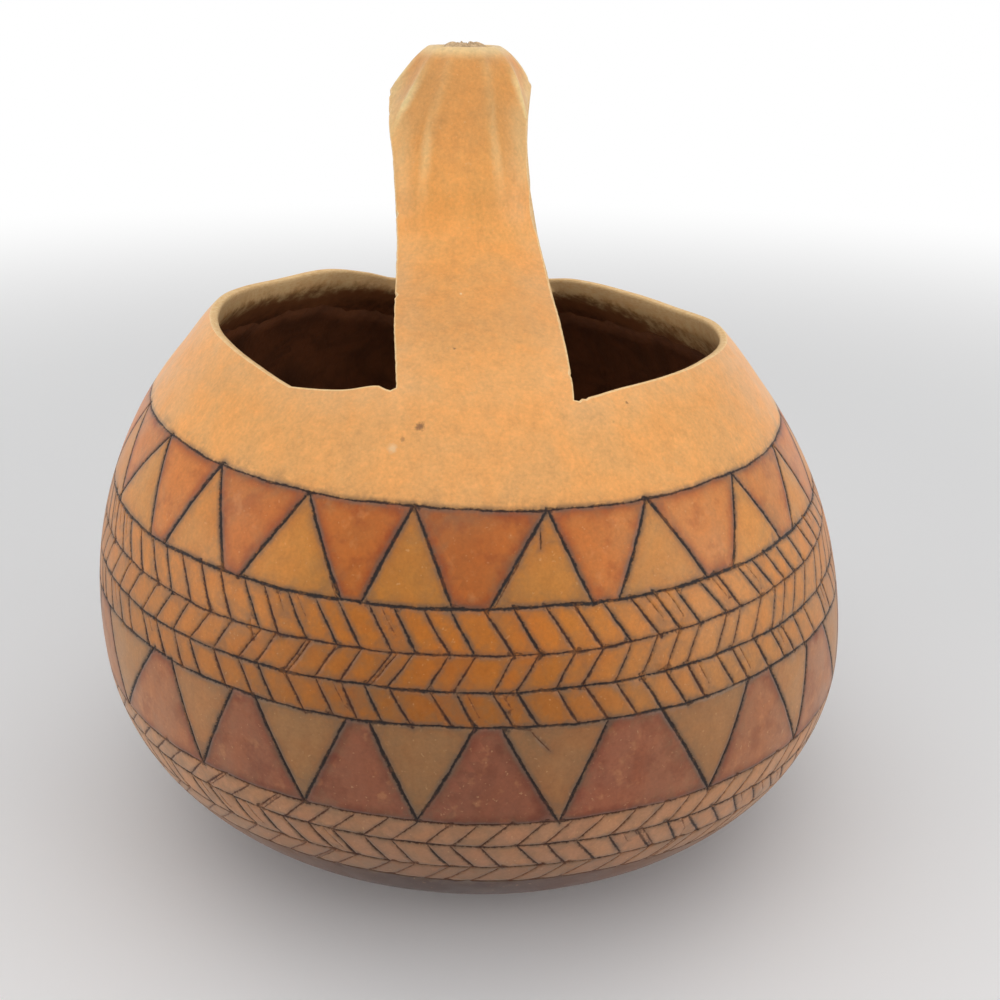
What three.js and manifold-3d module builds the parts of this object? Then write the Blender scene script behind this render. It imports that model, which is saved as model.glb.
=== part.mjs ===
// A gourd basket: one dried bottle gourd, sawn open on both sides so that a strap
// of its own rind is left as the handle, from the front rim over the stem end and
// down to the back rim. Bowl and handle are the same piece of rind, with no seam.
// The dark skin inside stays in the bowl below a sanded band, the woody stem end
// sits in the crown, and the scar of the blossom sits in the dimple underneath.
//
// Millimetres, +Z up. The front is towards -Y. The origin is on the table, under
// the middle of the widest ring.

import * as THREE from "three";
import { mergeVertices } from "three/addons/utils/BufferGeometryUtils.js";
import Module from "manifold-3d";

// Body of the gourd
const WIDEST_RADIUS = 100;
const WIDEST_HEIGHT = 59; // of the widest ring above the table
const BELLY_DEPTH = 61; // from the widest ring down to the tip of the uncut belly
const BELLY_FULLNESS = 2.15; // 2 is an ellipse, more is fuller
const SHOULDER_RISE = 103.5; // from the widest ring up to the top of the shoulder's ellipse
const SHOULDER_END = 60; // degrees round the shoulder's ellipse where the neck begins

// Neck and fluted crown
const WAIST_RISE = 24; // from the shoulder's end to the neck's waist
const WAIST_RADIUS = 26.5;
const NECK_LEAVE = 0.75; // share of the rise over which the neck keeps the shoulder's slope
const NECK_ARRIVE = 0.5; // share of the rise over which it comes upright to the waist
const CREST_RISE = 31; // from the waist to the crest of the crown
const CREST_RADIUS = 8.5; // of the ring where the flutes run out round the stem
const CROWN_LOW_TAPER = 2; // lost over the crown's lower part
const CROWN_LOW_SHARE = 0.26; // of the crown's rise
const CROWN_TOP_TAPER = 10; // lost up to where the crown turns over
const CROWN_TOP_SHARE = 0.89; // of the crown's rise
const FLUTE_RIDGES = [-130, -104, -65, -34, 0, 33, 66, 98, 131, 164, 197]; // degrees
const FLUTE_DEPTH = 1.3;
const FLUTE_LENGTH = 26; // down from the crest, where the flutes fade out
const FLUTE_FULL_SHARE = 0.3; // of that length, with the flutes at full depth

// The gourd leans to the left, its neck comes back a little and the crown tips over
const LEAN = 0.062; // sideways for each unit of height
const NECK_RETURN = 4.7; // at the crest
const RETURN_START = 50; // above the widest ring
const CROWN_TIP = 1.7; // sideways, at the crest
const CROWN_TIP_START = 18.5; // below the crest
const CROWN_TIP_END = 3.5;

// The shoulder is swollen on both sides, up to the rim: most outward step, and the
// heights above the widest ring where it starts and is full
const LEFT_SWELL = { amount: 2.4, start: 72, full: 86 };
const RIGHT_SWELL = { amount: 1.6, start: 62, full: 80 };
const SWELL_FADE_START = 88;
const SWELL_FADE_END = 98;

// Rind
const WALL = 4;
const FLOOR = 5; // thickness over the flat that the basket stands on
const CROWN_THICKNESS = 6.5; // below the crest

// The sawn rim: degrees round the gourd and height above the widest ring. The front is
// at -90. The left mouth has one kink, where two cuts meet.
const LEFT_RIM_FRONT = [[-90, 78.6], [-103, 79.9], [-110, 78.7], [-121, 77.9]];
const LEFT_RIM_SIDE = [[-121, 77.9], [-134, 80.2], [-150, 81.9], [-180, 83.2], [-200, 81.9]];
const LEFT_RIM_BACK = [[-214, 80.9], [-230, 81.1], [-243, 78.1], [-251, 75.1], [-270, 72]];
const RIGHT_RIM_FRONT = [[-90, 77], [-66, 77], [-55, 77.8], [-28, 77.7], [-10, 76.7]];
const RIGHT_RIM_BACK = [[9, 75.8], [28, 73.9], [44, 75.1], [60, 76.7], [68, 75.7], [90, 73]];
const RIM_SLOPE = 0.2; // the cut falls inwards by this for each unit across the wall

// The strap's sawn edges: height above the widest ring, and sideways place from the
// gourd's leaning axis. The last stations lie on the crown, which is round from there up.
const FRONT_LEFT_EDGE = [[79, -10.6], [92, -12.1], [106, -12.8], [122, -13.9], [134, -16.6]];
const FRONT_RIGHT_EDGE = [[79, 27], [86, 25.6], [97, 22.2], [105, 20], [114, 17.9], [124, 17.4], [134, 17]];
const BACK_LEFT_EDGE = [[75, -18], [106, -14.2], [124, -14.6], [134, -16.8]];
const BACK_RIGHT_EDGE = [[74, 21], [106, 18], [124, 17.4], [134, 17]];

// Inner skin
const SKIN_THICKNESS = 0.9;
const SANDED_BAND = 11; // bare rind between the rim and the skin's upper edge

// Stem end and blossom scar. The profiles are shares of the radius and of the height.
const STEM_RADIUS = 5.7;
const STEM_HEIGHT = 2.9;
const STEM_PROFILE = [[1, 0], [1, 0.35], [0.9, 0.68], [0.6, 0.94], [0.25, 1]];
const STEM_SEAT_DEPTH = 2.2; // from the crest down to the seat
const STEM_RIBS = 5;
const STEM_RIB_DEPTH = 0.7;
const SCAR_RADIUS = 5.5;
const SCAR_THICKNESS = 0.9;
const SCAR_PROFILE = [[0.35, 0], [0.85, 0.15], [1, 0.6], [1, 1]];
const SCAR_HOLLOW = 0.3; // share of its thickness, at the middle
const DIMPLE_DEPTH = 2.1;
const DIMPLE_SLOPE = 3; // width of the dimple's sloping side
const DIMPLE_MOST = 0.8; // of the flat underneath, which the dimple stays within

// Clearance between pieces that touch
const GAP = 0.3;

// Fineness of the curved surfaces
const STEPS_PER_FLUTE = 6;
const BELLY_STEPS = 10;
const SHOULDER_STEPS = 12;
const NECK_STEPS = 8;
const CROWN_STEPS = 9;
const SKIN_STEPS = 7;
const RIM_STEPS = 66;
const EDGE_STEPS = 16;
const STEM_ROUND_STEPS = 30;
const SCAR_ROUND_STEPS = 24;
const MERGE_DISTANCE = 1e-4;

// The solids that cut the mouths reach this far past the gourd, start this far from its
// axis so that their faces stay sound, and run on this many degrees past the strap
const CUTTER_MARGIN = 40;
const CUTTER_CORE = 0.5;
const CUTTER_OVERLAP = 20;

const shoulderEnd = THREE.MathUtils.degToRad(SHOULDER_END);
const SHOULDER_TOP = WIDEST_HEIGHT + SHOULDER_RISE * Math.sin(shoulderEnd);
const WAIST_HEIGHT = SHOULDER_TOP + WAIST_RISE;
const CREST_HEIGHT = WAIST_HEIGHT + CREST_RISE;
const ABOVE_ALL = CREST_HEIGHT + CUTTER_MARGIN;
const BEYOND_ALL = WIDEST_RADIUS + CUTTER_MARGIN;

const wasm = await Module();
wasm.setup();

// Sideways place of the gourd's axis at a height
function axisAt(z) {
  const start = WIDEST_HEIGHT + RETURN_START;
  const back = Math.max(0, (z - start) / (CREST_HEIGHT - start));
  const tip = THREE.MathUtils.smoothstep(z, CREST_HEIGHT - CROWN_TIP_START, CREST_HEIGHT - CROWN_TIP_END);
  return -LEAN * (z - WIDEST_HEIGHT) + NECK_RETURN * back * back + CROWN_TIP * tip;
}

// What the radius gains at a height and an angle from the swollen sides
function swellAt(z, angle) {
  const up = z - WIDEST_HEIGHT;
  const side = Math.cos(angle);
  const swell = side < 0 ? LEFT_SWELL : RIGHT_SWELL;
  const grow = THREE.MathUtils.smoothstep(up, swell.start, swell.full);
  const fade = 1 - THREE.MathUtils.smoothstep(up, SWELL_FADE_START, SWELL_FADE_END);
  return swell.amount * grow * fade * side * side;
}

// Radius of the lower body at a height, for a surface that lies inset from the rind's
function bellyRadius(z, inset, depth) {
  const share = Math.min(1, (WIDEST_HEIGHT - z) / depth);
  return (WIDEST_RADIUS - inset) * Math.pow(1 - Math.pow(share, BELLY_FULLNESS), 1 / BELLY_FULLNESS);
}

// Points up the belly from a start height to just below the widest ring
function bellyPoints(inset, depth, startHeight, steps) {
  const last = Math.asin(Math.min(1, (WIDEST_HEIGHT - startHeight) / depth));
  const points = [];
  for (let i = 0; i < steps; i++) {
    const z = WIDEST_HEIGHT - depth * Math.sin(last * (1 - i / steps));
    points.push(new THREE.Vector2(bellyRadius(z, inset, depth), z));
  }
  return points;
}

// Point on the shoulder's ellipse at an angle up from the widest ring
function shoulderPoint(inset, angle) {
  return new THREE.Vector2(
    (WIDEST_RADIUS - inset) * Math.cos(angle),
    WIDEST_HEIGHT + (SHOULDER_RISE - inset) * Math.sin(angle),
  );
}

function shoulderPoints(inset, angle, steps) {
  const points = [];
  for (let i = 0; i <= steps; i++) points.push(shoulderPoint(inset, (angle * i) / steps));
  return points;
}

// The neck leaves the shoulder along the ellipse and turns up to the waist
function neckCurve(inset) {
  const start = shoulderPoint(inset, shoulderEnd);
  const way = new THREE.Vector2(
    -(WIDEST_RADIUS - inset) * Math.sin(shoulderEnd),
    (SHOULDER_RISE - inset) * Math.cos(shoulderEnd),
  ).normalize();
  const waist = new THREE.Vector2(WAIST_RADIUS - inset, WAIST_HEIGHT);
  return new THREE.CubicBezierCurve(
    start,
    start.clone().addScaledVector(way, NECK_LEAVE * WAIST_RISE),
    waist.clone().add(new THREE.Vector2(0, -NECK_ARRIVE * WAIST_RISE)),
    waist,
  );
}

// The crown closes in from the waist to the ring round the stem
function crownCurve(inset, endRadius, endHeight) {
  const start = new THREE.Vector2(WAIST_RADIUS - inset, WAIST_HEIGHT);
  const rise = endHeight - WAIST_HEIGHT;
  const topShare = endRadius > 0 ? CROWN_TOP_SHARE : 1;
  const topRadius = Math.max(endRadius, start.x - CROWN_TOP_TAPER);
  return new THREE.CubicBezierCurve(
    start,
    new THREE.Vector2(start.x - CROWN_LOW_TAPER, WAIST_HEIGHT + CROWN_LOW_SHARE * rise),
    new THREE.Vector2(topRadius, WAIST_HEIGHT + topShare * rise),
    new THREE.Vector2(endRadius, endHeight),
  );
}

// Angles round the gourd, in even steps from each ridge of the crown to the next
function anglesByFlute() {
  const angles = [];
  FLUTE_RIDGES.forEach((ridge, i) => {
    const next = i + 1 < FLUTE_RIDGES.length ? FLUTE_RIDGES[i + 1] : FLUTE_RIDGES[0] + 360;
    for (let k = 0; k < STEPS_PER_FLUTE; k++) {
      const across = k / STEPS_PER_FLUTE;
      angles.push({ angle: THREE.MathUtils.degToRad(ridge + (next - ridge) * across), across });
    }
  });
  return angles;
}

// A closed surface over a profile that starts and ends on the axis. Each ring is centred
// on the leaning axis, and cut(point, across) gives what the radius loses there.
function surfaceOfProfile(profile, cut) {
  const angles = anglesByFlute();
  const steps = angles.length;
  const positions = [];
  const indices = [];
  const rings = profile.slice(1, -1);
  const [first, last] = [profile[0], profile[profile.length - 1]];
  positions.push(axisAt(first.y), 0, first.y);
  for (const point of rings) {
    for (const { angle, across } of angles) {
      const radius = point.x + swellAt(point.y, angle) - cut(point, across);
      positions.push(axisAt(point.y) + radius * Math.cos(angle), radius * Math.sin(angle), point.y);
    }
  }
  positions.push(axisAt(last.y), 0, last.y);
  const at = (ring, k) => 1 + ring * steps + (k % steps);
  const end = 1 + rings.length * steps;
  for (let k = 0; k < steps; k++) {
    indices.push(0, at(0, k + 1), at(0, k));
    indices.push(end, at(rings.length - 1, k), at(rings.length - 1, k + 1));
    for (let ring = 0; ring + 1 < rings.length; ring++) {
      indices.push(at(ring, k), at(ring, k + 1), at(ring + 1, k + 1));
      indices.push(at(ring, k), at(ring + 1, k + 1), at(ring + 1, k));
    }
  }
  const geometry = new THREE.BufferGeometry();
  geometry.setAttribute("position", new THREE.Float32BufferAttribute(positions, 3));
  geometry.setIndex(indices);
  return geometry;
}

// Ridges and hollows that run down the crown from the stem. across is 0 and 1 on the
// ridges and 0.5 in the hollow between them.
function fluteCut(point, across) {
  const down = CREST_HEIGHT - point.y;
  if (point.x <= CREST_RADIUS || down >= FLUTE_LENGTH || point.y < WAIST_HEIGHT) return 0;
  const grow = Math.min(1, (point.x - CREST_RADIUS) / CREST_RADIUS);
  const fade = 1 - THREE.MathUtils.smoothstep(down, FLUTE_FULL_SHARE * FLUTE_LENGTH, FLUTE_LENGTH);
  return FLUTE_DEPTH * grow * fade * Math.sin(Math.PI * across);
}

const noCut = () => 0;

// Outside of the gourd, with the dimple underneath and the seat of the stem on top
function outerGeometry() {
  const restRadius = bellyRadius(0, 0, BELLY_DEPTH);
  const dimpleRadius = SCAR_RADIUS + GAP;
  const crown = crownCurve(0, CREST_RADIUS, CREST_HEIGHT).getPoints(CROWN_STEPS).slice(1);
  const seat = CREST_HEIGHT - STEM_SEAT_DEPTH;
  const profile = [
    new THREE.Vector2(0, DIMPLE_DEPTH),
    new THREE.Vector2(dimpleRadius, DIMPLE_DEPTH),
    new THREE.Vector2(Math.min(dimpleRadius + DIMPLE_SLOPE, DIMPLE_MOST * restRadius), 0),
    ...bellyPoints(0, BELLY_DEPTH, 0, BELLY_STEPS),
    ...shoulderPoints(0, shoulderEnd, SHOULDER_STEPS),
    ...neckCurve(0).getPoints(NECK_STEPS).slice(1),
    ...crown,
    new THREE.Vector2(STEM_RADIUS + GAP, seat),
    new THREE.Vector2(0, seat),
  ];
  return surfaceOfProfile(profile, fluteCut);
}

// Inside of the gourd, from the floor up to the underside of the crown
function innerGeometry() {
  const profile = [
    ...bellyPoints(WALL, WIDEST_HEIGHT - FLOOR, FLOOR, BELLY_STEPS),
    ...shoulderPoints(WALL, shoulderEnd, SHOULDER_STEPS),
    ...neckCurve(WALL).getPoints(NECK_STEPS).slice(1),
    ...crownCurve(WALL, 0, CREST_HEIGHT - CROWN_THICKNESS).getPoints(CROWN_STEPS).slice(1),
  ];
  profile[0].x = 0;
  return surfaceOfProfile(profile, noCut);
}

// A smooth curve through stations of [place, value], as value by place
function throughStations(stations) {
  const sorted = [...stations].sort((a, b) => a[0] - b[0]);
  const slope = sorted.map((_, i) => {
    const before = sorted[Math.max(0, i - 1)];
    const after = sorted[Math.min(sorted.length - 1, i + 1)];
    return (after[1] - before[1]) / (after[0] - before[0]);
  });
  return (place) => {
    let i = 0;
    while (i < sorted.length - 2 && place > sorted[i + 1][0]) i++;
    const span = sorted[i + 1][0] - sorted[i][0];
    const t = THREE.MathUtils.clamp((place - sorted[i][0]) / span, 0, 1);
    const [t2, t3] = [t * t, t * t * t];
    return (
      sorted[i][1] * (2 * t3 - 3 * t2 + 1) +
      sorted[i + 1][1] * (3 * t2 - 2 * t3) +
      span * (slope[i] * (t3 - 2 * t2 + t) + slope[i + 1] * (t3 - t2))
    );
  };
}

const leftRimFront = throughStations(LEFT_RIM_FRONT);
const leftRimRest = throughStations([...LEFT_RIM_SIDE, ...LEFT_RIM_BACK]);
const rightRim = throughStations([...RIGHT_RIM_FRONT, ...RIGHT_RIM_BACK]);

// Height of the sawn rim at an angle from -270 to 90 degrees
function rimHeight(degrees) {
  const kink = LEFT_RIM_SIDE[0][0];
  const left = degrees > kink ? leftRimFront : leftRimRest;
  return WIDEST_HEIGHT + (degrees < -90 ? left(degrees) : rightRim(degrees));
}

// Radius of the shoulder's outside at a height and an angle
function shoulderRadius(z, angle) {
  const up = Math.min(1, (z - WIDEST_HEIGHT) / SHOULDER_RISE);
  return WIDEST_RADIUS * Math.sqrt(1 - up * up) + swellAt(z, angle);
}

// Everything above the sawn rim on one side, from one angle to another. The lower face
// is nearly level and falls a little inwards.
function aboveRimGeometry(from, to) {
  const positions = [];
  const indices = [];
  const steps = RIM_STEPS;
  for (let k = 0; k <= steps; k++) {
    const degrees = from + ((to - from) * k) / steps;
    const z = rimHeight(degrees);
    const angle = THREE.MathUtils.degToRad(degrees);
    const rim = shoulderRadius(z, angle);
    for (const radius of [CUTTER_CORE, BEYOND_ALL]) {
      const x = axisAt(z) + radius * Math.cos(angle);
      const y = radius * Math.sin(angle);
      positions.push(x, y, z + RIM_SLOPE * (radius - rim));
      positions.push(x, y, ABOVE_ALL + BEYOND_ALL);
    }
  }
  const [inLow, inHigh, outLow, outHigh] = [0, 1, 2, 3];
  const at = (k, corner) => 4 * k + corner;
  const quad = (a, b, c, d) => indices.push(a, b, c, a, c, d);
  for (let k = 0; k < steps; k++) {
    const sides = [
      [inLow, outLow],
      [outLow, outHigh],
      [outHigh, inHigh],
      [inHigh, inLow],
    ];
    for (const [a, b] of sides) quad(at(k, a), at(k + 1, a), at(k + 1, b), at(k, b));
  }
  quad(at(0, inLow), at(0, outLow), at(0, outHigh), at(0, inHigh));
  quad(at(steps, inLow), at(steps, inHigh), at(steps, outHigh), at(steps, outLow));
  const geometry = new THREE.BufferGeometry();
  geometry.setAttribute("position", new THREE.Float32BufferAttribute(positions, 3));
  geometry.setIndex(indices);
  return geometry;
}

// Everything beside one edge of the strap. side is -1 at the left and 1 at the right,
// and way is -1 for the front half and 1 for the back half.
function besideStrapGeometry(side, way, stations) {
  const edge = throughStations(stations);
  const low = stations[0][0];
  const high = CREST_HEIGHT - WIDEST_HEIGHT;
  const outline = new THREE.Shape();
  outline.moveTo(side * BEYOND_ALL, WIDEST_HEIGHT);
  outline.lineTo(axisAt(WIDEST_HEIGHT + low) + edge(low), WIDEST_HEIGHT);
  for (let i = 0; i <= EDGE_STEPS; i++) {
    const up = low + ((high - low) * i) / EDGE_STEPS;
    outline.lineTo(axisAt(WIDEST_HEIGHT + up) + edge(up), WIDEST_HEIGHT + up);
  }
  outline.lineTo(axisAt(CREST_HEIGHT) + edge(high), ABOVE_ALL);
  outline.lineTo(side * BEYOND_ALL, ABOVE_ALL);
  outline.closePath();
  const geometry = new THREE.ExtrudeGeometry(outline, { depth: BEYOND_ALL, bevelEnabled: false });
  geometry.rotateX(Math.PI / 2); // the outline's height becomes Z, and the depth runs to -Y
  if (way > 0) geometry.translate(0, BEYOND_ALL, 0);
  return geometry;
}

// A closed geometry as a solid that can be joined and cut
function toSolid(geometry) {
  const bare = geometry.clone();
  bare.deleteAttribute("normal");
  bare.deleteAttribute("uv");
  const merged = mergeVertices(bare, MERGE_DISTANCE);
  const mesh = new wasm.Mesh({
    numProp: 3,
    vertProperties: merged.attributes.position.array,
    triVerts: new Uint32Array(merged.index.array),
  });
  return new wasm.Manifold(mesh);
}

function fromSolid(solid) {
  const mesh = solid.getMesh();
  const geometry = new THREE.BufferGeometry();
  geometry.setAttribute("position", new THREE.BufferAttribute(mesh.vertProperties, 3));
  geometry.setIndex(new THREE.BufferAttribute(mesh.triVerts, 1));
  geometry.computeVertexNormals();
  return geometry;
}

// The mouth on one side of the strap: above the rim and beside the strap
function mouthSolid(side, frontEdge, backEdge) {
  const [from, to] = side < 0 ? [-270, -90] : [-90, 90];
  const front = toSolid(besideStrapGeometry(side, -1, frontEdge));
  const back = toSolid(besideStrapGeometry(side, 1, backEdge));
  const above = toSolid(aboveRimGeometry(from - CUTTER_OVERLAP, to + CUTTER_OVERLAP));
  return front.add(back).intersect(above);
}

// Bowl, handle and crown: one piece of rind
function shellGeometry() {
  const body = toSolid(outerGeometry()).subtract(toSolid(innerGeometry()));
  const left = mouthSolid(-1, FRONT_LEFT_EDGE, BACK_LEFT_EDGE);
  const right = mouthSolid(1, FRONT_RIGHT_EDGE, BACK_RIGHT_EDGE);
  return fromSolid(body.subtract(left).subtract(right));
}

// The dark skin that lines the bowl below the sanded band
function innerSkinGeometry() {
  const outside = WALL + GAP;
  const inside = outside + SKIN_THICKNESS;
  const columns = [];
  for (const { angle } of anglesByFlute()) {
    const degrees = THREE.MathUtils.radToDeg(angle);
    const top = rimHeight(degrees > 90 ? degrees - 360 : degrees) - SANDED_BAND;
    const faces = [outside, inside].map((inset) => {
      const floor = FLOOR + inset - WALL;
      const topAngle = Math.asin((top - WIDEST_HEIGHT) / (SHOULDER_RISE - inset));
      return [
        ...bellyPoints(inset, WIDEST_HEIGHT - floor, floor, SKIN_STEPS),
        ...shoulderPoints(inset, topAngle, SKIN_STEPS),
      ];
    });
    columns.push({ angle, points: [...faces[0], ...faces[1].reverse()] });
  }
  const steps = columns.length;
  const rows = columns[0].points.length - 2;
  const poles = [columns[0].points[0].y, columns[0].points[rows + 1].y];
  const positions = [axisAt(poles[0]), 0, poles[0], axisAt(poles[1]), 0, poles[1]];
  for (const { angle, points } of columns) {
    for (const point of points.slice(1, -1)) {
      const radius = point.x + swellAt(point.y, angle);
      positions.push(axisAt(point.y) + radius * Math.cos(angle), radius * Math.sin(angle), point.y);
    }
  }
  const indices = [];
  const at = (k, row) => 2 + (k % steps) * rows + row;
  for (let k = 0; k < steps; k++) {
    indices.push(0, at(k + 1, 0), at(k, 0));
    indices.push(1, at(k, rows - 1), at(k + 1, rows - 1));
    for (let row = 0; row + 1 < rows; row++) {
      indices.push(at(k, row), at(k + 1, row), at(k + 1, row + 1));
      indices.push(at(k, row), at(k + 1, row + 1), at(k, row + 1));
    }
  }
  const geometry = new THREE.BufferGeometry();
  geometry.setAttribute("position", new THREE.Float32BufferAttribute(positions, 3));
  geometry.setIndex(indices);
  geometry.computeVertexNormals();
  return geometry;
}

// Points of a turned profile, from shares of a radius and a height
function scaledProfile(shares, radius, height) {
  return shares.map(([across, up]) => new THREE.Vector2(across * radius, up * height));
}

// Woody end of the stem, ribbed like the stalk it broke from
function stemGeometry() {
  const side = scaledProfile(STEM_PROFILE, STEM_RADIUS, STEM_HEIGHT);
  const profile = [new THREE.Vector2(0, 0), ...side, new THREE.Vector2(0, STEM_HEIGHT)];
  return lobedGeometry(profile, STEM_ROUND_STEPS, STEM_RIBS, STEM_RIB_DEPTH / STEM_RADIUS);
}

// Scar of the blossom, a shallow woody button with a hollow below
function scarGeometry() {
  const side = scaledProfile(SCAR_PROFILE, SCAR_RADIUS, SCAR_THICKNESS);
  const hollow = new THREE.Vector2(0, SCAR_HOLLOW * SCAR_THICKNESS);
  const profile = [hollow, ...side, new THREE.Vector2(0, SCAR_THICKNESS)];
  return lobedGeometry(profile, SCAR_ROUND_STEPS, 1, 0);
}

// A turned profile whose side is drawn in between its ribs, by a share of the radius
function lobedGeometry(profile, steps, ribs, depth) {
  const geometry = new THREE.LatheGeometry(profile, steps);
  geometry.rotateX(Math.PI / 2);
  const position = geometry.attributes.position;
  for (let i = 0; i < position.count; i++) {
    const [x, y] = [position.getX(i), position.getY(i)];
    const angle = Math.atan2(y, x);
    const share = 1 - depth * (1 - Math.abs(Math.cos((ribs * angle) / 2)));
    position.setXY(i, x * share, y * share);
  }
  geometry.deleteAttribute("normal");
  geometry.deleteAttribute("uv");
  const merged = mergeVertices(geometry, MERGE_DISTANCE);
  merged.computeVertexNormals();
  return merged;
}

function rindMaterial() {
  return new THREE.MeshStandardMaterial({ color: 0xc98a4e, roughness: 0.42, metalness: 0 });
}

function skinMaterial() {
  return new THREE.MeshStandardMaterial({ color: 0x3a2012, roughness: 0.8, metalness: 0 });
}

function stalkMaterial() {
  return new THREE.MeshStandardMaterial({ color: 0xb99465, roughness: 0.75, metalness: 0 });
}

function addMesh(name, geometry, material, x, z) {
  const mesh = new THREE.Mesh(geometry, material);
  mesh.name = name;
  mesh.position.set(x, 0, z);
  basket.add(mesh);
}

const basket = new THREE.Group();
const stemSeat = CREST_HEIGHT - STEM_SEAT_DEPTH + GAP;
const scarSeat = DIMPLE_DEPTH - GAP - SCAR_THICKNESS;
addMesh("gourd_shell", shellGeometry(), rindMaterial(), 0, 0);
addMesh("inner_skin", innerSkinGeometry(), skinMaterial(), 0, 0);
addMesh("stem_end", stemGeometry(), stalkMaterial(), axisAt(stemSeat), stemSeat);
addMesh("blossom_scar", scarGeometry(), stalkMaterial(), axisAt(scarSeat), scarSeat);

export default basket;
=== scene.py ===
import math
import random

import bmesh
import bpy
import numpy as np
from bpy.props import FloatProperty, FloatVectorProperty, IntProperty, PointerProperty
from mathutils import Matrix, Vector
from mathutils.geometry import delaunay_2d_cdt


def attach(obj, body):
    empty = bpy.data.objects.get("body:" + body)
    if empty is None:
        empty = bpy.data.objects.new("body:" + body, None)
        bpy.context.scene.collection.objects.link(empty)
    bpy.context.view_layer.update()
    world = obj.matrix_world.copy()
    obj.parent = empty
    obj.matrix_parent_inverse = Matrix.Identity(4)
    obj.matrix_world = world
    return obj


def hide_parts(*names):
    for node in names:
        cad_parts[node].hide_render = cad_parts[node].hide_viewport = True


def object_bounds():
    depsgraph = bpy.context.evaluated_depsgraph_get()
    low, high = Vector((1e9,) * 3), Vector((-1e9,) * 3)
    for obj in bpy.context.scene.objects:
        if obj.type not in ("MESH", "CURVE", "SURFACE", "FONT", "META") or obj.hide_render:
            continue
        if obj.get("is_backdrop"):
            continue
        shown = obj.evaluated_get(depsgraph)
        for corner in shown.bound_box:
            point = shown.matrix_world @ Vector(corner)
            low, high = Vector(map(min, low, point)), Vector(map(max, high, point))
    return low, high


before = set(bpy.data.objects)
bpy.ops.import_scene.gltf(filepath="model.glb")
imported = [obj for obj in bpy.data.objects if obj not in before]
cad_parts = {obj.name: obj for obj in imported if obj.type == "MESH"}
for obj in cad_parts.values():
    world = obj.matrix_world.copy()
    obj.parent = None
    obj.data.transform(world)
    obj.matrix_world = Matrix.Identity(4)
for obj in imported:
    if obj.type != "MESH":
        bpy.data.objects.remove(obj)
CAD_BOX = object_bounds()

bl_info = {
    "name": "Gourd basket",
    "version": (1, 0, 0),
    "blender": (4, 5, 0),
    "location": "3D View > Sidebar > Gourd",
    "description": "A basket sawn from one dried gourd, with engraved and stained bands",
    "category": "Add Mesh",
}

# Lengths are in millimetres up to the mesh, which is in metres
MM = 0.001

# The gourd's form, as in the solids
WIDEST_RADIUS = 100.0
WIDEST_HEIGHT = 59.0
BELLY_DEPTH = 61.0
BELLY_FULLNESS = 2.15
SHOULDER_RISE = 103.5
SHOULDER_END = math.radians(60)
WAIST_RISE = 24.0
WAIST_RADIUS = 26.5
NECK_LEAVE = 0.75
NECK_ARRIVE = 0.5
CREST_RISE = 31.0
CREST_RADIUS = 8.5
CROWN_LOW_TAPER = 2.0
CROWN_LOW_SHARE = 0.26
CROWN_TOP_TAPER = 10.0
CROWN_TOP_SHARE = 0.89
FLUTE_RIDGES = (-130, -104, -65, -34, 0, 33, 66, 98, 131, 164, 197)
FLUTE_DEPTH = 1.3
FLUTE_LENGTH = 26.0
FLUTE_FULL_SHARE = 0.3
LEAN = 0.062
NECK_RETURN = 4.7
RETURN_START = 50.0
CROWN_TIP = 1.7
CROWN_TIP_START = 18.5
CROWN_TIP_END = 3.5
LEFT_SWELL = (2.4, 72.0, 86.0)
RIGHT_SWELL = (1.6, 62.0, 80.0)
SWELL_FADE = (88.0, 98.0)
WALL = 4.0
FLOOR = 5.0
CROWN_THICKNESS = 6.5
LEFT_RIM_FRONT = ((-90, 78.6), (-103, 79.9), (-110, 78.7), (-121, 77.9))
LEFT_RIM_REST = (
    (-121, 77.9), (-134, 80.2), (-150, 81.9), (-180, 83.2), (-200, 81.9),
    (-214, 80.9), (-230, 81.1), (-243, 78.1), (-251, 75.1), (-270, 72),
)
RIGHT_RIM = (
    (-90, 77), (-66, 77), (-55, 77.8), (-28, 77.7), (-10, 76.7),
    (9, 75.8), (28, 73.9), (44, 75.1), (60, 76.7), (68, 75.7), (90, 73),
)
RIM_KINK = -121
SCRAPED = (  # how far below the rim the skin was scraped away, at degrees round the gourd
    (-270, 5.0), (-245, 5.5), (-228, 8.5), (-212, 6.5), (-190, 9.5), (-165, 9), (-125, 7), (-90, 6),
    (-45, 8), (-10, 12), (20, 13.5), (40, 11), (55, 7.5), (70, 6), (90, 5),
)
RIM_FALL = 0.6  # of the sawn face at the front; it is level at the back
FRONT_LEFT_EDGE = ((79, -10.6), (92, -12.1), (106, -12.8), (122, -13.9), (134, -16.6))
FRONT_RIGHT_EDGE = (
    (79, 27), (86, 25.6), (97, 22.2), (105, 20), (114, 17.9), (124, 17.4), (134, 17)
)
BACK_LEFT_EDGE = ((75, -18), (106, -14.2), (124, -14.6), (134, -16.8))
BACK_RIGHT_EDGE = ((74, 21), (106, 18), (124, 17.4), (134, 17))
SKIN_THICKNESS = 0.9
SANDED_BAND = 11.0
GAP = 0.3
STEM_RADIUS = 5.7
STEM_HEIGHT = 2.9
STEM_SEAT_DEPTH = 2.2
SEAT_RADIUS = 5.6
SEAT_LIP = ((8.0, 203.6), (7.4, 203.45), (6.9, 203.0), (6.45, 202.3), (6.1, 201.65))
SCAR_RADIUS = 5.5
SCAR_THICKNESS = 0.9
DIMPLE_DEPTH = 2.1
DIMPLE_SLOPE = 3.0

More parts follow.
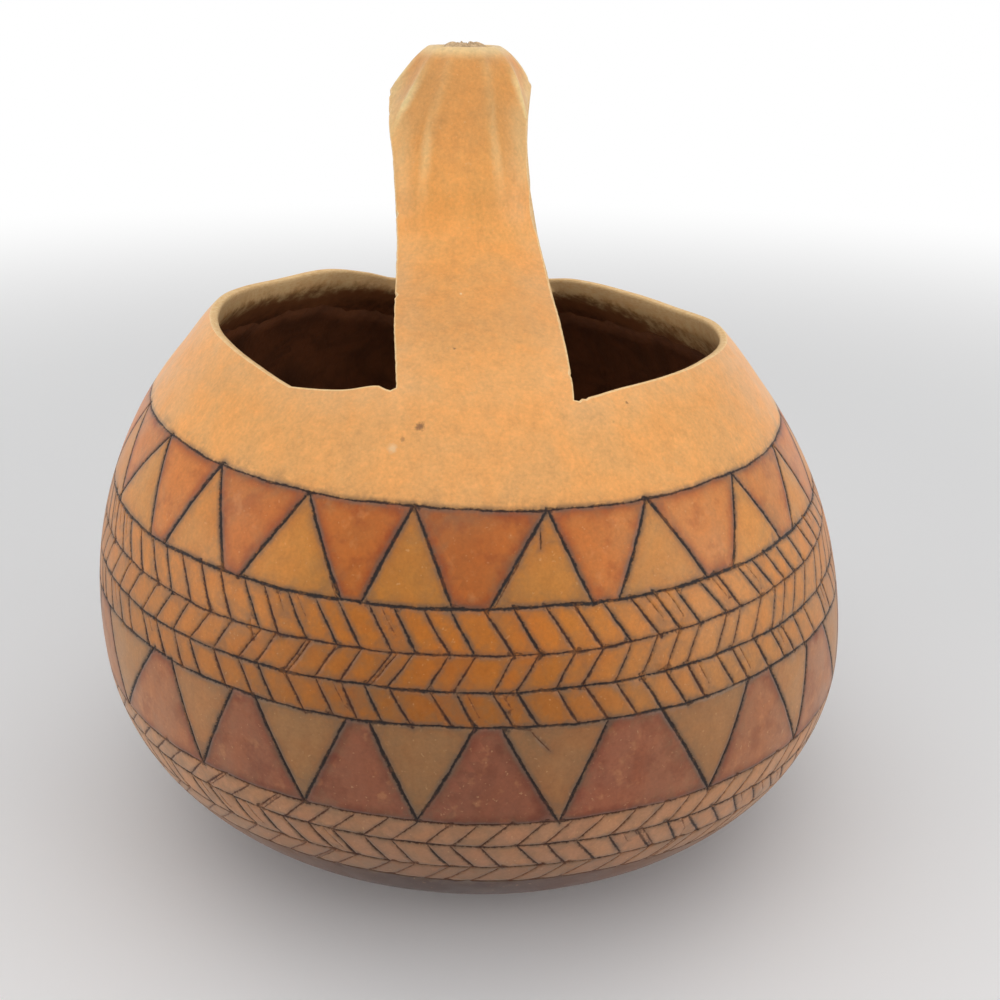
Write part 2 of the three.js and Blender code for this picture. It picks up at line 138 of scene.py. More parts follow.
# Profiles of the stalk's stub and of the blossom's scar, as shares of radius and height
STUB_PROFILE = (
    (0.9, 0.0), (0.985, 0.05), (0.99, 0.2), (0.985, 0.4), (0.95, 0.58), (0.88, 0.72), (0.78, 0.84),
    (0.66, 0.93), (0.54, 0.985), (0.42, 0.95), (0.32, 0.82), (0.22, 0.78), (0.1, 0.8),
)
SCAR_PROFILE = (
    (0.95, 1.0), (0.99, 0.85), (0.985, 0.6), (0.93, 0.35), (0.82, 0.16), (0.68, 0.06),
    (0.52, 0.04), (0.4, 0.12), (0.28, 0.28), (0.16, 0.34), (0.07, 0.3),
)

SHOULDER_TOP = WIDEST_HEIGHT + SHOULDER_RISE * math.sin(SHOULDER_END)
WAIST_HEIGHT = SHOULDER_TOP + WAIST_RISE
CREST_HEIGHT = WAIST_HEIGHT + CREST_RISE

# Engraved rings, top to bottom: height above the widest ring, what it gains to the right
# and to the back, half the line's width, and how dark it is
RINGS = (
    (60.8, -3.1, 0.8, 0.30, 0.95),
    (42.6, -1.5, 0.2, 0.40, 1.0),
    (35.8, -1.2, 2.2, 0.27, 0.9),
    (26.4, -1.3, -0.05, 0.33, 1.0),
    (18.1, -2.0, -1.0, 0.33, 1.0),
    (-4.8, -2.6, -1.4, 0.27, 0.8),
    (-11.1, -3.2, -1.4, 0.29, 0.9),
    (-17.6, -3.3, -0.7, 0.24, 0.8),
    (-23.6, -3.3, -0.7, 0.18, 0.55),
)

# Light triangles of the front, in degrees round the gourd, where the front is at -90:
# the point, then both ends of the foot. The rest of the band goes on in an even step.
UPPER_TRIANGLES = (
    (-144, -154.6, -139.2), (-128, -135.3, -122.4), (-110.8, -119.6, -104.3),
    (-94.6, -101.5, -89.8), (-75.6, -85.1, -71.6), (-59.8, -68, -53.7),
    (-41.2, -48.5, -35.8), (-24.3, -31.2, -19.7),
)
LOWER_TRIANGLES = (
    (-145, -150, -134.8), (-125.9, -130.6, -119.3), (-109.9, -115.9, -103.4), (-95.7, -100.6, -88),
    (-78.6, -84.8, -71.6), (-57.7, -64.4, -50), (-39.6, -45.6, -35.4),
)
TRIANGLES_AROUND = 21
UPPER_ZONE = 1  # the bands of triangles, counted down from the shoulder
LOWER_ZONE = 5
UPPER_ENDS = (0, 1)  # the ring at their points, and the ring at their feet
LOWER_ENDS = (5, 4)
TRIANGLE_CHANGE = 0.16  # how much the colour changes from one triangle to the next
STROKE_CHANGE = 0.07  # and between two strokes

# How much of the bare rind shows through the stain: degrees round the gourd, share on the
# upper bands, share on the lower bands
THIN_STAIN = (
    (-270, 0.1, 0.1), (-230, 0.2, 0.2), (-190, 0.12, 0.12), (-160, 0.28, 0.36),
    (-140, 0.26, 0.32), (-118, 0.12, 0.1), (-95, 0, 0), (-78, 0.04, 0), (-62, 0.28, 0.1),
    (-45, 0.36, 0.24), (-20, 0.28, 0.3), (20, 0.12, 0.12), (60, 0.18, 0.18), (90, 0.1, 0.1),
)

# How light each band is, top to bottom, from the shoulder to below the last ring: painted shade,
# the rows of strokes darker downwards where less light reaches the lower belly
PAINTED_BAND_SHADE = (1, 1, 1.09, 0.9, 0.76, 1, 1, 0.95, 0.72, 1)

# Painted shade at the front, where the belly gets less light than at its sides, and below the last
# ring also a painted contact shadow: how much darker the colour is there, in red, green and blue:
# on the upper bands, on the lower bands, and below the last ring
SHADED_FRONT_ANGLE = -96
SHADED_FRONT_SPREAD = 20
HIGH_FRONT_SHADE = (0.14, 0.17, 0.3)
LOW_FRONT_SHADE = (0.14, 0.12, 0.1)
BASE_FRONT_SHADE = (0.55, 0.55, 0.52)

# Slanting strokes between two rings. Each band has its share of the stroke count, and then
# for each row: upper ring, lower ring, run in steps of the spacing, half width, darkness.
STROKE_ROWS = (
    (1.0, ((1, 2, 0.84, 0.36, 1.0), (2, 3, -0.84, 0.26, 0.85), (3, 4, 0.62, 0.35, 0.95))),
    (0.96, ((5, 6, -0.96, 0.26, 0.68), (6, 7, 0.64, 0.37, 0.92), (7, 8, -1.0, 0.19, 0.45))),
)

# Strokes that slipped: both ends as degrees round the gourd and height above the widest
# ring, half width, darkness
STRAY_STROKES = (
    ((-77.1, 56.0), (-77.5, 52.4), 0.2, 0.9),
    ((-81.3, 17.9), (-79.0, 12.8), 0.16, 0.55),
    ((-117.2, 36.5), (-116.2, 31.5), 0.14, 0.5),
)

# Where the parts of the mesh join, above the widest ring
PATTERN_FOOT = -34.0
PATTERN_TOP = 66.0
INNER_JOIN = 45.0
JOIN_COLUMNS = 220
REACH = 3.5  # how far from a line or an edge the mesh still knows its distance
EDGE_REACH = 12.0
SEAM = math.radians(-270)
TURN = 2 * math.pi

# Welding, in metres: points anywhere, points of a seam, and the shortest edge that stays
WELD = 3e-6
SEAM_WELD = 6e-5
SHORTEST = 1e-7

# Points of a sawn edge of the strap and of one mouth's rim, and how often a place is
# corrected until it has settled
EDGE_POINTS = 84
RIM_POINTS = 190
EDGE_STEPS = 700
RIM_SETTLES = 30
FOOT_SETTLES = 60
HALVINGS = 50

# The rounding of the sawn strip: shares of the way round its outer and its inner corner
OUTER_STEPS = (0, 0.3, 0.7, 1)
INNER_STEPS = (0, 0.2, 0.4, 0.6, 0.8, 1)
STRAP_ROUND = 0.75  # of the rim's inner rounding
ROUND_LIMIT = 0.62  # of the rind's thickness
RIM_LIP_FLAT = 0.85  # the thin lip of the rim is sanded off flat
STRAP_LIP_FLAT = 0.35
LEFT_OVERCUT = ((-3, 0.6), (-2, 1.1), (-1, 1.3))  # steps from the strap's foot, depth in slips
RIGHT_OVERCUT = ((-3, 0.5), (-2, 0.0), (-1, 0.7))

# Waver of an engraved ring: waves in one turn, and height of each
RING_WAVES = ((8, 1), (15, 0.8), (27, 0.6), (53, 0.5), (97, 0.4))
RING_WAVER = 0.11
LINE_CHANGE = 0.14
USUAL_DARK = 0.9  # of a line

# Spacing of the mesh, in millimetres on the belly
OVERLAP = 9.0  # how far a line goes on past the seam
RING_STEP = 2.2
STROKE_STEP = 2.1
BESIDE_LINE = 0.6
MESH_STEP = 2.7
MESH_ROW = 0.866  # of the step, from one row of points to the next
SEAM_STEP = 2.6
CLEAR_OF_LINE = 0.95
CLEAR_OF_BORDER = 0.8
TOP_STEP = 1.55
TOP_SPACING = 1.75
INSIDE_STEP = 2.5
INSIDE_SPACING = 2.8
SPACING_ANGLE = 0.7  # where round the gourd the spacing of a ring is taken
UNDERSIDE_RINGS = 15
DISC_RADIUS = 100.0  # of the disc on which the top is spread to be meshed
LIP_RINGS = (  # radius, points: over the crown's lip and down to the stub's seat
    (8.5, 66), (8.0, 60), (7.4, 54), (6.9, 50), (6.45, 46), (6.1, 44), (5.6, 40), (4.2, 24),
    (2.4, 14),
)
BOWL_HEIGHTS = (104, 92, 78, 62, 48, 36, 26, 18, 12, 8, 6.0, 5.25)
BOWL_SCRAPED = 6.0  # far below the scraped band

# The dark skin: rows of its mesh, what it keeps from the wall, and how its top thins out
SKIN_ROWS = 30
SKIN_SNUG = 0.08
SKIN_MARGIN = 0.05
SKIN_CROWDING = 0.8
SKIN_THIN_START = 0.72
SKIN_TOP_THIN = 0.15

# Spots that grew or were knocked into the rind: place, radius, how dark (or pale, below zero)
SPOTS = (
    ((-9.6, -70.0, 132.7), 1.1, 0.75),
    ((-13.2, -71.6, 130.4), 0.6, 0.4),
    ((-15.2, -72.9, 128.9), 1.1, -0.5),
    ((34.1, -57.4, 134.3), 0.45, 0.9),
    ((31.0, -62.4, 131.6), 0.35, 0.6),
    ((-3.1, -55.3, 145.2), 0.4, 0.8),
    ((-2.1, -41.1, 153.8), 0.35, -0.9),
)

# The photograph's viewpoint, in millimetres and pixels of a picture 1000 wide
CAMERA_PLACE = (7.0, -303.65, 214.5)
CAMERA_PITCH = math.radians(22.776)
CAMERA_ROLL = 0.0105
FOCAL_PIXELS = 1200.0
PICTURE_WIDTH = 1000.0
SENSOR_WIDTH = 36.0


def linear(red, green, blue):
    """A colour as the eye reads it, 0 to 255, as linear light."""
    shares = [channel / 255 for channel in (red, green, blue)]
    return tuple(s / 12.92 if s <= 0.04045 else ((s + 0.055) / 1.055) ** 2.4 for s in shares)


# Colours of wear, dirt and grain, and of painted highlights and sheen, which go over those that the
# user can change
CLOUDED = (0.95, 0.78, 0.58)
PALE_RIND_AND_SHEEN = linear(240, 192, 136)
RIDGE_HIGHLIGHT = linear(255, 224, 160)
FLECK = linear(240, 196, 140)
BLOTCHED = (0.74, 0.62, 0.56)
RUBBED = linear(226, 160, 104)
GRIME = linear(112, 88, 60)
POOLED = (0.62, 0.42, 0.36)
SMUDGE = linear(94, 79, 65)
FAINT_LINE = linear(118, 60, 28)
DARK_SPOT = linear(96, 64, 46)
PALE_SPOT = linear(246, 216, 170)
FLESH_GRAIN = linear(240, 194, 134)
FLESH_SHADE = linear(216, 168, 112)
SCRAPED_PALE = linear(255, 216, 154)
SCRAPED_DEEP = linear(240, 184, 120)
SCRAPED_STAIN = linear(150, 98, 56)
TORN_SKIN = linear(156, 98, 56)
SKIN_FIBRE = linear(92, 56, 32)
STALK_CLOUD = linear(146, 110, 74)
UNSTAINED = (0.5, 0.4, 0.3)  # the woody pieces' stain, which their paint doesn't use
PALE_FLOOR = (0.95, 0.95, 0.955, 1)
WHITE = (1, 1, 1, 1)

# The lamps: name, place in metres, size in metres, power in watts
LAMPS = (
    ("big softbox", (0.0, -0.1, 1.1), 2.0, 12.4),
    ("front fill", (0.0, -1.15, 0.85), 0.9, 2.4),
    ("low left fill", (-1.15, -0.45, 0.32), 0.9, 5.0),
    ("low right fill", (1.15, -0.45, 0.32), 0.9, 6.0),
)
LAMP_TARGET = (0, 0, 0.09)
STUDIO_LIGHT = 0.05
FLOOR_REACHES = (0.3, 0.6, 1.2, 2.4, 6.0, 20.0)
FLOOR_COLUMNS = 96
FLOOR_FADE = (0.25, 1.1)  # where the shaded floor goes over into plain white

# What the settings of one kind have in common
COLOUR = {"subtype": "COLOR", "size": 3, "min": 0, "max": 1}
LENGTH = {"unit": "LENGTH", "precision": 5}


class GourdLook(bpy.types.PropertyGroup):
    """Sizes and colours of the basket's finish."""

    seed: IntProperty(
        name="Hand", description="Which hand's small slips the strokes follow", default=7, min=0
    )
    strokes: IntProperty(
        name="Strokes",
        description="Slanting strokes in one row round the gourd",
        default=97,
        min=60,
        max=200,
    )
    line_depth: FloatProperty(
        name="Line depth",
        description="Depth of the engraved lines",
        default=0.00028,
        min=0,
        max=0.0008,
        **LENGTH,
    )
    line_width: FloatProperty(
        name="Line width",
        description="Share of the usual width of the lines",
        default=1.0,
        min=0.5,
        max=1.6,
        subtype="FACTOR",
    )
    outer_round: FloatProperty(
        name="Outer edge",
        description="Rounding of the sawn edge outside",
        default=0.00045,
        min=0.0001,
        max=0.001,
        **LENGTH,
    )
    inner_round: FloatProperty(
        name="Inner edge",
        description="Rounding of the sawn edge inside",
        default=0.0034,
        min=0.0003,
        max=0.004,
        **LENGTH,
    )
    scraped_depth: FloatProperty(
        name="Scraped lip",
        description="How far down the inside the rim is sanded",
        default=0.0068,
        min=0.003,
        max=0.008,
        **LENGTH,
    )
    saw_slips: FloatProperty(
        name="Saw slips",
        description="How far the saw wandered at the strap",
        default=0.0006,
        min=0,
        max=0.0009,
        **LENGTH,
    )
    rind: FloatVectorProperty(
        name="Rind", description="Bare waxed rind", default=linear(240, 174, 103), **COLOUR
    )
    strap: FloatVectorProperty(
        name="Strap and crown",
        description="Waxed rind of the handle",
        default=linear(233, 166, 91),
        **COLOUR,
    )
    ochre: FloatVectorProperty(
        name="Upper light triangles",
        description="Triangles that point up",
        default=linear(199, 130, 55),
        **COLOUR,
    )
    russet: FloatVectorProperty(
        name="Upper dark triangles",
        description="Stained ground between them",
        default=linear(193, 107, 40),
        **COLOUR,
    )
    honey: FloatVectorProperty(
        name="Upper strokes",
        description="Ground of the upper rows of strokes",
        default=linear(193, 115, 37),
        **COLOUR,
    )
    # The lower colours, from the lower light triangles to the underside, are partly real deeper
    # stain and partly painted shade of the lower belly and underside, which get less light
    clay: FloatVectorProperty(
        name="Lower light triangles",
        description="Triangles that point down",
        default=linear(156, 108, 66),
        **COLOUR,
    )
    plum: FloatVectorProperty(
        name="Lower dark triangles",
        description="Stained ground between them",
        default=linear(144, 84, 59),
        **COLOUR,
    )
    blush: FloatVectorProperty(
        name="Lower strokes",
        description="Ground of the lower rows of strokes",
        default=linear(180, 128, 92),
        **COLOUR,
    )
    base: FloatVectorProperty(
        name="Underside", description="Rind below the pattern", default=linear(96, 61, 45), **COLOUR
    )
    flesh: FloatVectorProperty(
        name="Sawn rind",
        description="Sawn and sanded edge",
        default=linear(252, 216, 162),
        **COLOUR,
    )
    ink: FloatVectorProperty(
        name="Lines", description="Blackened lines", default=linear(30, 18, 13), **COLOUR
    )
    hull: FloatVectorProperty(
        name="Dried skin",
        description="Dark skin of the inside",
        default=linear(128, 74, 40),
        **COLOUR,
    )
    stalk: FloatVectorProperty(
        name="Stalk", description="Dry stem end", default=linear(232, 198, 154), **COLOUR
    )


# ---- shape of the gourd


def smooth(value, start, end):
    """0 up to the start, 1 from the end on, with a soft change between."""
    share = np.clip((value - start) / (end - start), 0, 1)
    return share * share * (3 - 2 * share)


def axis_at(z):
    """How far to the right the leaning axis stands at a height."""
    start = WIDEST_HEIGHT + RETURN_START
    back = np.maximum(0, (z - start) / (CREST_HEIGHT - start))
    tip = smooth(z, CREST_HEIGHT - CROWN_TIP_START, CREST_HEIGHT - CROWN_TIP_END)
    return -LEAN * (z - WIDEST_HEIGHT) + NECK_RETURN * back * back + CROWN_TIP * tip


def swell_at(z, theta):
    """What the shoulder gains at the left and at the right."""
    up = z - WIDEST_HEIGHT
    side = np.cos(theta)
    fade = 1 - smooth(up, *SWELL_FADE)
    left = LEFT_SWELL[0] * smooth(up, LEFT_SWELL[1], LEFT_SWELL[2])
    right = RIGHT_SWELL[0] * smooth(up, RIGHT_SWELL[1], RIGHT_SWELL[2])
    return np.where(side < 0, left, right) * fade * side * side


def flute_at(radius, z, theta):
    """What the ridged crown loses between two ridges."""
    ridges = np.radians(np.array(FLUTE_RIDGES + (FLUTE_RIDGES[0] + 360,)))
    turned = ridges[0] + np.mod(theta - ridges[0], TURN)
    index = np.clip(np.searchsorted(ridges, turned, side="right") - 1, 0, len(ridges) - 2)
    across = (turned - ridges[index]) / (ridges[index + 1] - ridges[index])
    down = CREST_HEIGHT - z
    grow = np.clip((radius - CREST_RADIUS) / CREST_RADIUS, 0, 1)
    fade = 1 - smooth(down, FLUTE_FULL_SHARE * FLUTE_LENGTH, FLUTE_LENGTH)
    shaped = FLUTE_DEPTH * grow * fade * np.sin(math.pi * across)
    return np.where((down < FLUTE_LENGTH) & (z >= WAIST_HEIGHT), shaped, 0)


def dent_at(z, theta):
    """Shallow dents of a grown thing, always inwards."""
    wave = np.sin(3 * theta + 0.05 * z + 0.6) + np.sin(5 * theta - 0.071 * z + 2.1)
    wave = wave + 0.6 * np.sin(9 * theta + 0.11 * z + 4.0) + 0.5 * np.sin(2 * theta + 0.16 * z)
    return 0.1 + 0.045 * (3.1 - wave) * smooth(z, 4, 22) * (1 - smooth(z, 185, 200))


def bezier(points, steps):
    """A curve from the first of four points to the last."""
    points = np.array(points, float)
    t = np.linspace(0, 1, steps)[:, None]
    start = (1 - t) ** 3 * points[0] + 3 * t * (1 - t) ** 2 * points[1]
    return start + 3 * t * t * (1 - t) * points[2] + t**3 * points[3]


def belly_curve(inset, depth, start, steps=200):
    """From the foot up to the widest ring, as radius and height."""
    last = math.asin(min(1, (WIDEST_HEIGHT - start) / depth))
    z = WIDEST_HEIGHT - depth * np.sin(last * (1 - np.arange(steps) / steps))
    share = np.clip((WIDEST_HEIGHT - z) / depth, 0, 1)
    radius = (WIDEST_RADIUS - inset) * (1 - share**BELLY_FULLNESS) ** (1 / BELLY_FULLNESS)
    return np.stack([radius, z], 1)


def shoulder_curve(inset, steps=200):
    """From the widest ring up to where the neck begins."""
    angle = np.linspace(0, SHOULDER_END, steps)
    radius = (WIDEST_RADIUS - inset) * np.cos(angle)
    return np.stack([radius, WIDEST_HEIGHT + (SHOULDER_RISE - inset) * np.sin(angle)], 1)


def neck_curve(inset):
    """The hollow curve from the shoulder to the waist."""
    start = shoulder_curve(inset)[-1]
    inwards = -(WIDEST_RADIUS - inset) * math.sin(SHOULDER_END)
    way = np.array([inwards, (SHOULDER_RISE - inset) * math.cos(SHOULDER_END)])
    way = way / np.linalg.norm(way)
    waist = np.array([WAIST_RADIUS - inset, WAIST_HEIGHT])
    leave = start + way * NECK_LEAVE * WAIST_RISE
    arrive = waist - [0, NECK_ARRIVE * WAIST_RISE]
    return bezier([start, leave, arrive, waist], steps=150)


def crown_curve(inset, end_radius, end_height):
    """From the waist up over the crown."""
    start = WAIST_RADIUS - inset
    rise = end_height - WAIST_HEIGHT
    top = CROWN_TOP_SHARE if end_radius > 0 else 1
    return bezier(
        [
            (start, WAIST_HEIGHT),
            (start - CROWN_LOW_TAPER, WAIST_HEIGHT + CROWN_LOW_SHARE * rise),
            (max(end_radius, start - CROWN_TOP_TAPER), WAIST_HEIGHT + top * rise),
            (end_radius, end_height),
        ],
        steps=300,
    )


class Side:
    """One face of the rind: a profile carried round the leaning axis. Places on it are an
    angle and a climb, where the climb is measured so that small shapes keep their form."""

    def __init__(self, curve, outside):
        keep = np.concatenate([[True], np.linalg.norm(np.diff(curve, axis=0), axis=1) > 1e-6])
        curve = curve[keep & (curve[:, 0] > 0.15)]
        self.outside = outside
        self.radius, self.z = curve[:, 0], curve[:, 1]
        step = np.linalg.norm(np.diff(curve, axis=0), axis=1)
        middle = (self.radius[1:] + self.radius[:-1]) / 2
        climb = np.concatenate([[0], np.cumsum(step * WIDEST_RADIUS / middle)])
        widest = int(np.argmax(self.radius))
        self.climb = climb - climb[widest]
        run = np.gradient(curve, axis=0)
        run = run / np.linalg.norm(run, axis=1)[:, None]
        self.out = np.stack([run[:, 1], -run[:, 0]], 1)
        self.highest = int(np.argmax(self.z))

    def climb_of(self, z):
        return np.interp(z, self.z[: self.highest + 1], self.climb[: self.highest + 1])

    def z_of(self, climb):
        return np.interp(climb, self.climb, self.z)

    def radius_of(self, theta, climb):
        plain = np.interp(climb, self.climb, self.radius)
        z = self.z_of(climb)
        radius = plain + swell_at(z, theta)
        if self.outside:
            radius = radius - flute_at(plain, z, theta) - dent_at(z, theta)
        return radius

    def place(self, theta, climb, sunk=0.0):
        radius = self.radius_of(theta, climb) - sunk * np.interp(climb, self.climb, self.out[:, 0])
        z = self.z_of(climb)
        height = z - sunk * np.interp(climb, self.climb, self.out[:, 1])
        return np.stack([axis_at(z) + radius * np.cos(theta), radius * np.sin(theta), height], -1)


def outer_side():
    """The outside of the rind, over the crest and down into the seat of the stub."""
    seat = CREST_HEIGHT - STEM_SEAT_DEPTH
    lip = np.array([(CREST_RADIUS, CREST_HEIGHT), *SEAT_LIP, (SEAT_RADIUS, seat), (0.1, seat)])
    fine = [np.linspace(a, b, 12)[1:] for a, b in zip(lip[:-1], lip[1:])]
    crown = crown_curve(0, CREST_RADIUS, CREST_HEIGHT)
    curves = [belly_curve(0, BELLY_DEPTH, 0), shoulder_curve(0), neck_curve(0), crown]
    return Side(np.concatenate(curves + fine), True)


def inner_side():
    """The inside of the rind."""
    belly = belly_curve(WALL, WIDEST_HEIGHT - FLOOR, FLOOR)
    crown = crown_curve(WALL, 0, CREST_HEIGHT - CROWN_THICKNESS)
    return Side(np.concatenate([belly, shoulder_curve(WALL), neck_curve(WALL), crown]), False)


def through(stations):
    """A smooth curve through stations of (place, value)."""
    stations = sorted(stations)
    place = np.array([s[0] for s in stations], float)
    value = np.array([s[1] for s in stations], float)
    before = np.maximum(np.arange(len(place)) - 1, 0)
    after = np.minimum(np.arange(len(place)) + 1, len(place) - 1)
    slope = (value[after] - value[before]) / (place[after] - place[before])

    def curve(at):
        at = np.asarray(at, float)
        i = np.searchsorted(place[1:-1], at, side="left")
        span = place[i + 1] - place[i]
        t = np.clip((at - place[i]) / span, 0, 1)
        level = value[i] * (2 * t**3 - 3 * t * t + 1) + value[i + 1] * (3 * t * t - 2 * t**3)
        return level + span * (slope[i] * (t**3 - 2 * t * t + t) + slope[i + 1] * (t**3 - t * t))

    return curve


LEFT_FRONT_CURVE = through(LEFT_RIM_FRONT)
LEFT_REST_CURVE = through(LEFT_RIM_REST)
RIGHT_CURVE = through(RIGHT_RIM)
SCRAPED_CURVE = through(SCRAPED)


def rim_height(theta):
    """Height of the sawn rim at an angle from -270 to 90 degrees."""
    degrees = np.degrees(theta)
    left = np.where(degrees > RIM_KINK, LEFT_FRONT_CURVE(degrees), LEFT_REST_CURVE(degrees))
    return WIDEST_HEIGHT + np.where(degrees < -90, left, RIGHT_CURVE(degrees))


THIN_CURVES = [through([(row[0], row[part]) for row in THIN_STAIN]) for part in (1, 2)]


def scraped_share(theta, z):
    """How far a place inside lies below the rim, in widths of the scraped band."""
    return (rim_height(theta) - z) / SCRAPED_CURVE(np.degrees(theta))


def rim_climb(side, theta):
    """Where the sawn rim crosses one side of the rind."""
    rim = rim_height(theta)
    if side.outside:
        return side.climb_of(rim)
    up = np.clip((rim - WIDEST_HEIGHT) / SHOULDER_RISE, 0, 1)
    edge = WIDEST_RADIUS * np.sqrt(1 - up * up) + swell_at(rim, theta)
    fall = RIM_FALL * (1 - np.sin(theta)) / 2
    climb = side.climb_of(rim)
    for _ in range(RIM_SETTLES):
        climb = side.climb_of(rim + fall * (side.radius_of(theta, climb) - edge))
    return climb


# ---- the sawn mouths


def foot_of_edge(side, left, way, edge, low):
    """The corner where the strap's sawn edge meets the rim."""
    climb = side.climb_of(WIDEST_HEIGHT + low)
    theta = 0.0
    for _ in range(FOOT_SETTLES):
        reach = edge(side.z_of(climb) - WIDEST_HEIGHT) / side.radius_of(theta, climb)
        theta = way * math.acos(float(np.clip(reach, -1, 1)))
        if left and theta > 0:
            theta -= TURN
        climb = float(rim_climb(side, np.float64(theta)))
    return theta, climb


def edge_of_strap(side, left, way, stations):
    """Angles and climbs from the foot of a sawn edge up to the top of its arch."""
    edge = through(stations)
    foot, low = foot_of_edge(side, left, way, edge, stations[0][0])
    top = -math.pi if left else 0.0
    theta = np.linspace(foot, top, EDGE_STEPS)
    bottom = np.full(theta.shape, low - 0.5)
    highest = CREST_HEIGHT if side.outside else CREST_HEIGHT - CROWN_THICKNESS - 0.05
    ceiling = np.full(theta.shape, side.climb_of(highest))
    for _ in range(HALVINGS):
        middle = (bottom + ceiling) / 2
        across = side.radius_of(theta, middle) * np.abs(np.cos(theta))
        wide = across > np.abs(edge(side.z_of(middle) - WIDEST_HEIGHT))
        bottom = np.where(wide, middle, bottom)
        ceiling = np.where(wide, ceiling, middle)
    climb = (bottom + ceiling) / 2
    climb[0] = low
    return theta, climb


def evenly(side, theta, climb, count):
    """The same path in equal steps."""
    places = side.place(theta, climb)
    way = np.concatenate([[0], np.cumsum(np.linalg.norm(np.diff(places, axis=0), axis=1))])
    at = np.linspace(0, way[-1], count)
    return np.interp(at, way, theta), np.interp(at, way, climb)


def mouth_loop(side, left):
    """The sawn edge all round one mouth: up the front of the strap, over the arch, down its
    back and round the rim. Returns angles, climbs and which of them are on the rim."""
    front = FRONT_LEFT_EDGE if left else FRONT_RIGHT_EDGE
    back = BACK_LEFT_EDGE if left else BACK_RIGHT_EDGE
    f_theta, f_climb = edge_of_strap(side, left, -1, front)
    b_theta, b_climb = edge_of_strap(side, left, 1, back)
    up_theta, up_climb = evenly(side, f_theta, f_climb, EDGE_POINTS)
    down_theta, down_climb = evenly(side, b_theta[::-1], b_climb[::-1], EDGE_POINTS)
    rim = np.linspace(b_theta[0], f_theta[0], RIM_POINTS)
    if left:
        kink = int(np.argmin(np.abs(rim - math.radians(RIM_KINK))))
        rim[kink] = math.radians(RIM_KINK)
    theta = np.concatenate([up_theta[:-1], down_theta[:-1], rim[:-1]])
    climb = np.concatenate([up_climb[:-1], down_climb[:-1], rim_climb(side, rim)[:-1]])
    return theta, climb, np.arange(len(theta)) >= 2 * (EDGE_POINTS - 1)


def to_disc(theta, climb):
    """The top of the gourd spread on a disc, the stem in the middle."""
    far = DISC_RADIUS * np.exp(-climb / WIDEST_RADIUS)
    return np.stack([far * np.cos(theta), far * np.sin(theta)], -1)


def from_disc(points):
    """Angles and climbs of points on the disc."""
    far = np.maximum(np.hypot(points[:, 0], points[:, 1]), 1e-9)
    theta = np.arctan2(points[:, 1], points[:, 0])
    theta = np.where(theta > math.pi / 2, theta - TURN, theta)
    return theta, -WIDEST_RADIUS * np.log(far / DISC_RADIUS)


def disc_scale(side, theta, climb):
    """Length on the disc of one millimetre on the rind."""
    far = DISC_RADIUS * np.exp(-climb / WIDEST_RADIUS)
    return far / np.maximum(side.radius_of(theta, climb), 0.5)


def outward(points):
    """Unit steps away from the inside of a closed path, longer at its corners."""
    before = points - np.roll(points, 1, axis=0)
    after = np.roll(points, -1, axis=0) - points
    before /= np.linalg.norm(before, axis=1)[:, None]
    after /= np.linalg.norm(after, axis=1)[:, None]
    way = before + after
    way /= np.linalg.norm(way, axis=1)[:, None]
    area = np.sum(
        points[:, 0] * np.roll(points[:, 1], -1) - np.roll(points[:, 0], -1) * points[:, 1]
    )
    sign = 1 if area > 0 else -1
    normal = sign * np.stack([way[:, 1], -way[:, 0]], 1)
    corner = np.clip(np.sum(way * after, axis=1), 0.7, 1)
    return normal / corner[:, None]


def inside_path(points, path):
    """Which points lie inside a closed path."""
    x, y = points[:, 0], points[:, 1]
    inside = np.zeros(len(points), bool)
    previous = path[-1]
    for current in path:
        crosses = (current[1] > y) != (previous[1] > y)
        if crosses.any():
            rise = previous[1] - current[1] + 1e-12
            at = (previous[0] - current[0]) * (y - current[1]) / rise + current[0]
            inside ^= crosses & (x < at)
        previous = current
    return inside


def distance_to_path(points, path, batch=4000):
    """Least distance from each point to a closed path."""
    least = np.empty(len(points))
    run = (np.roll(path, -1, axis=0) - path)[None]
    for start in range(0, len(points), batch):
        away = points[start : start + batch, None, :] - path[None]
        share = np.clip(np.sum(away * run, axis=2) / np.sum(run * run, axis=2), 0, 1)
        gap = np.linalg.norm(away - share[..., None] * run, axis=2)
        least[start : start + batch] = gap.min(axis=1)
    return least


def rounding(start, corner, end, t):
    """A place on the rounding of a corner."""
    return (1 - t) ** 2 * start + 2 * t * (1 - t) * corner + t * t * end


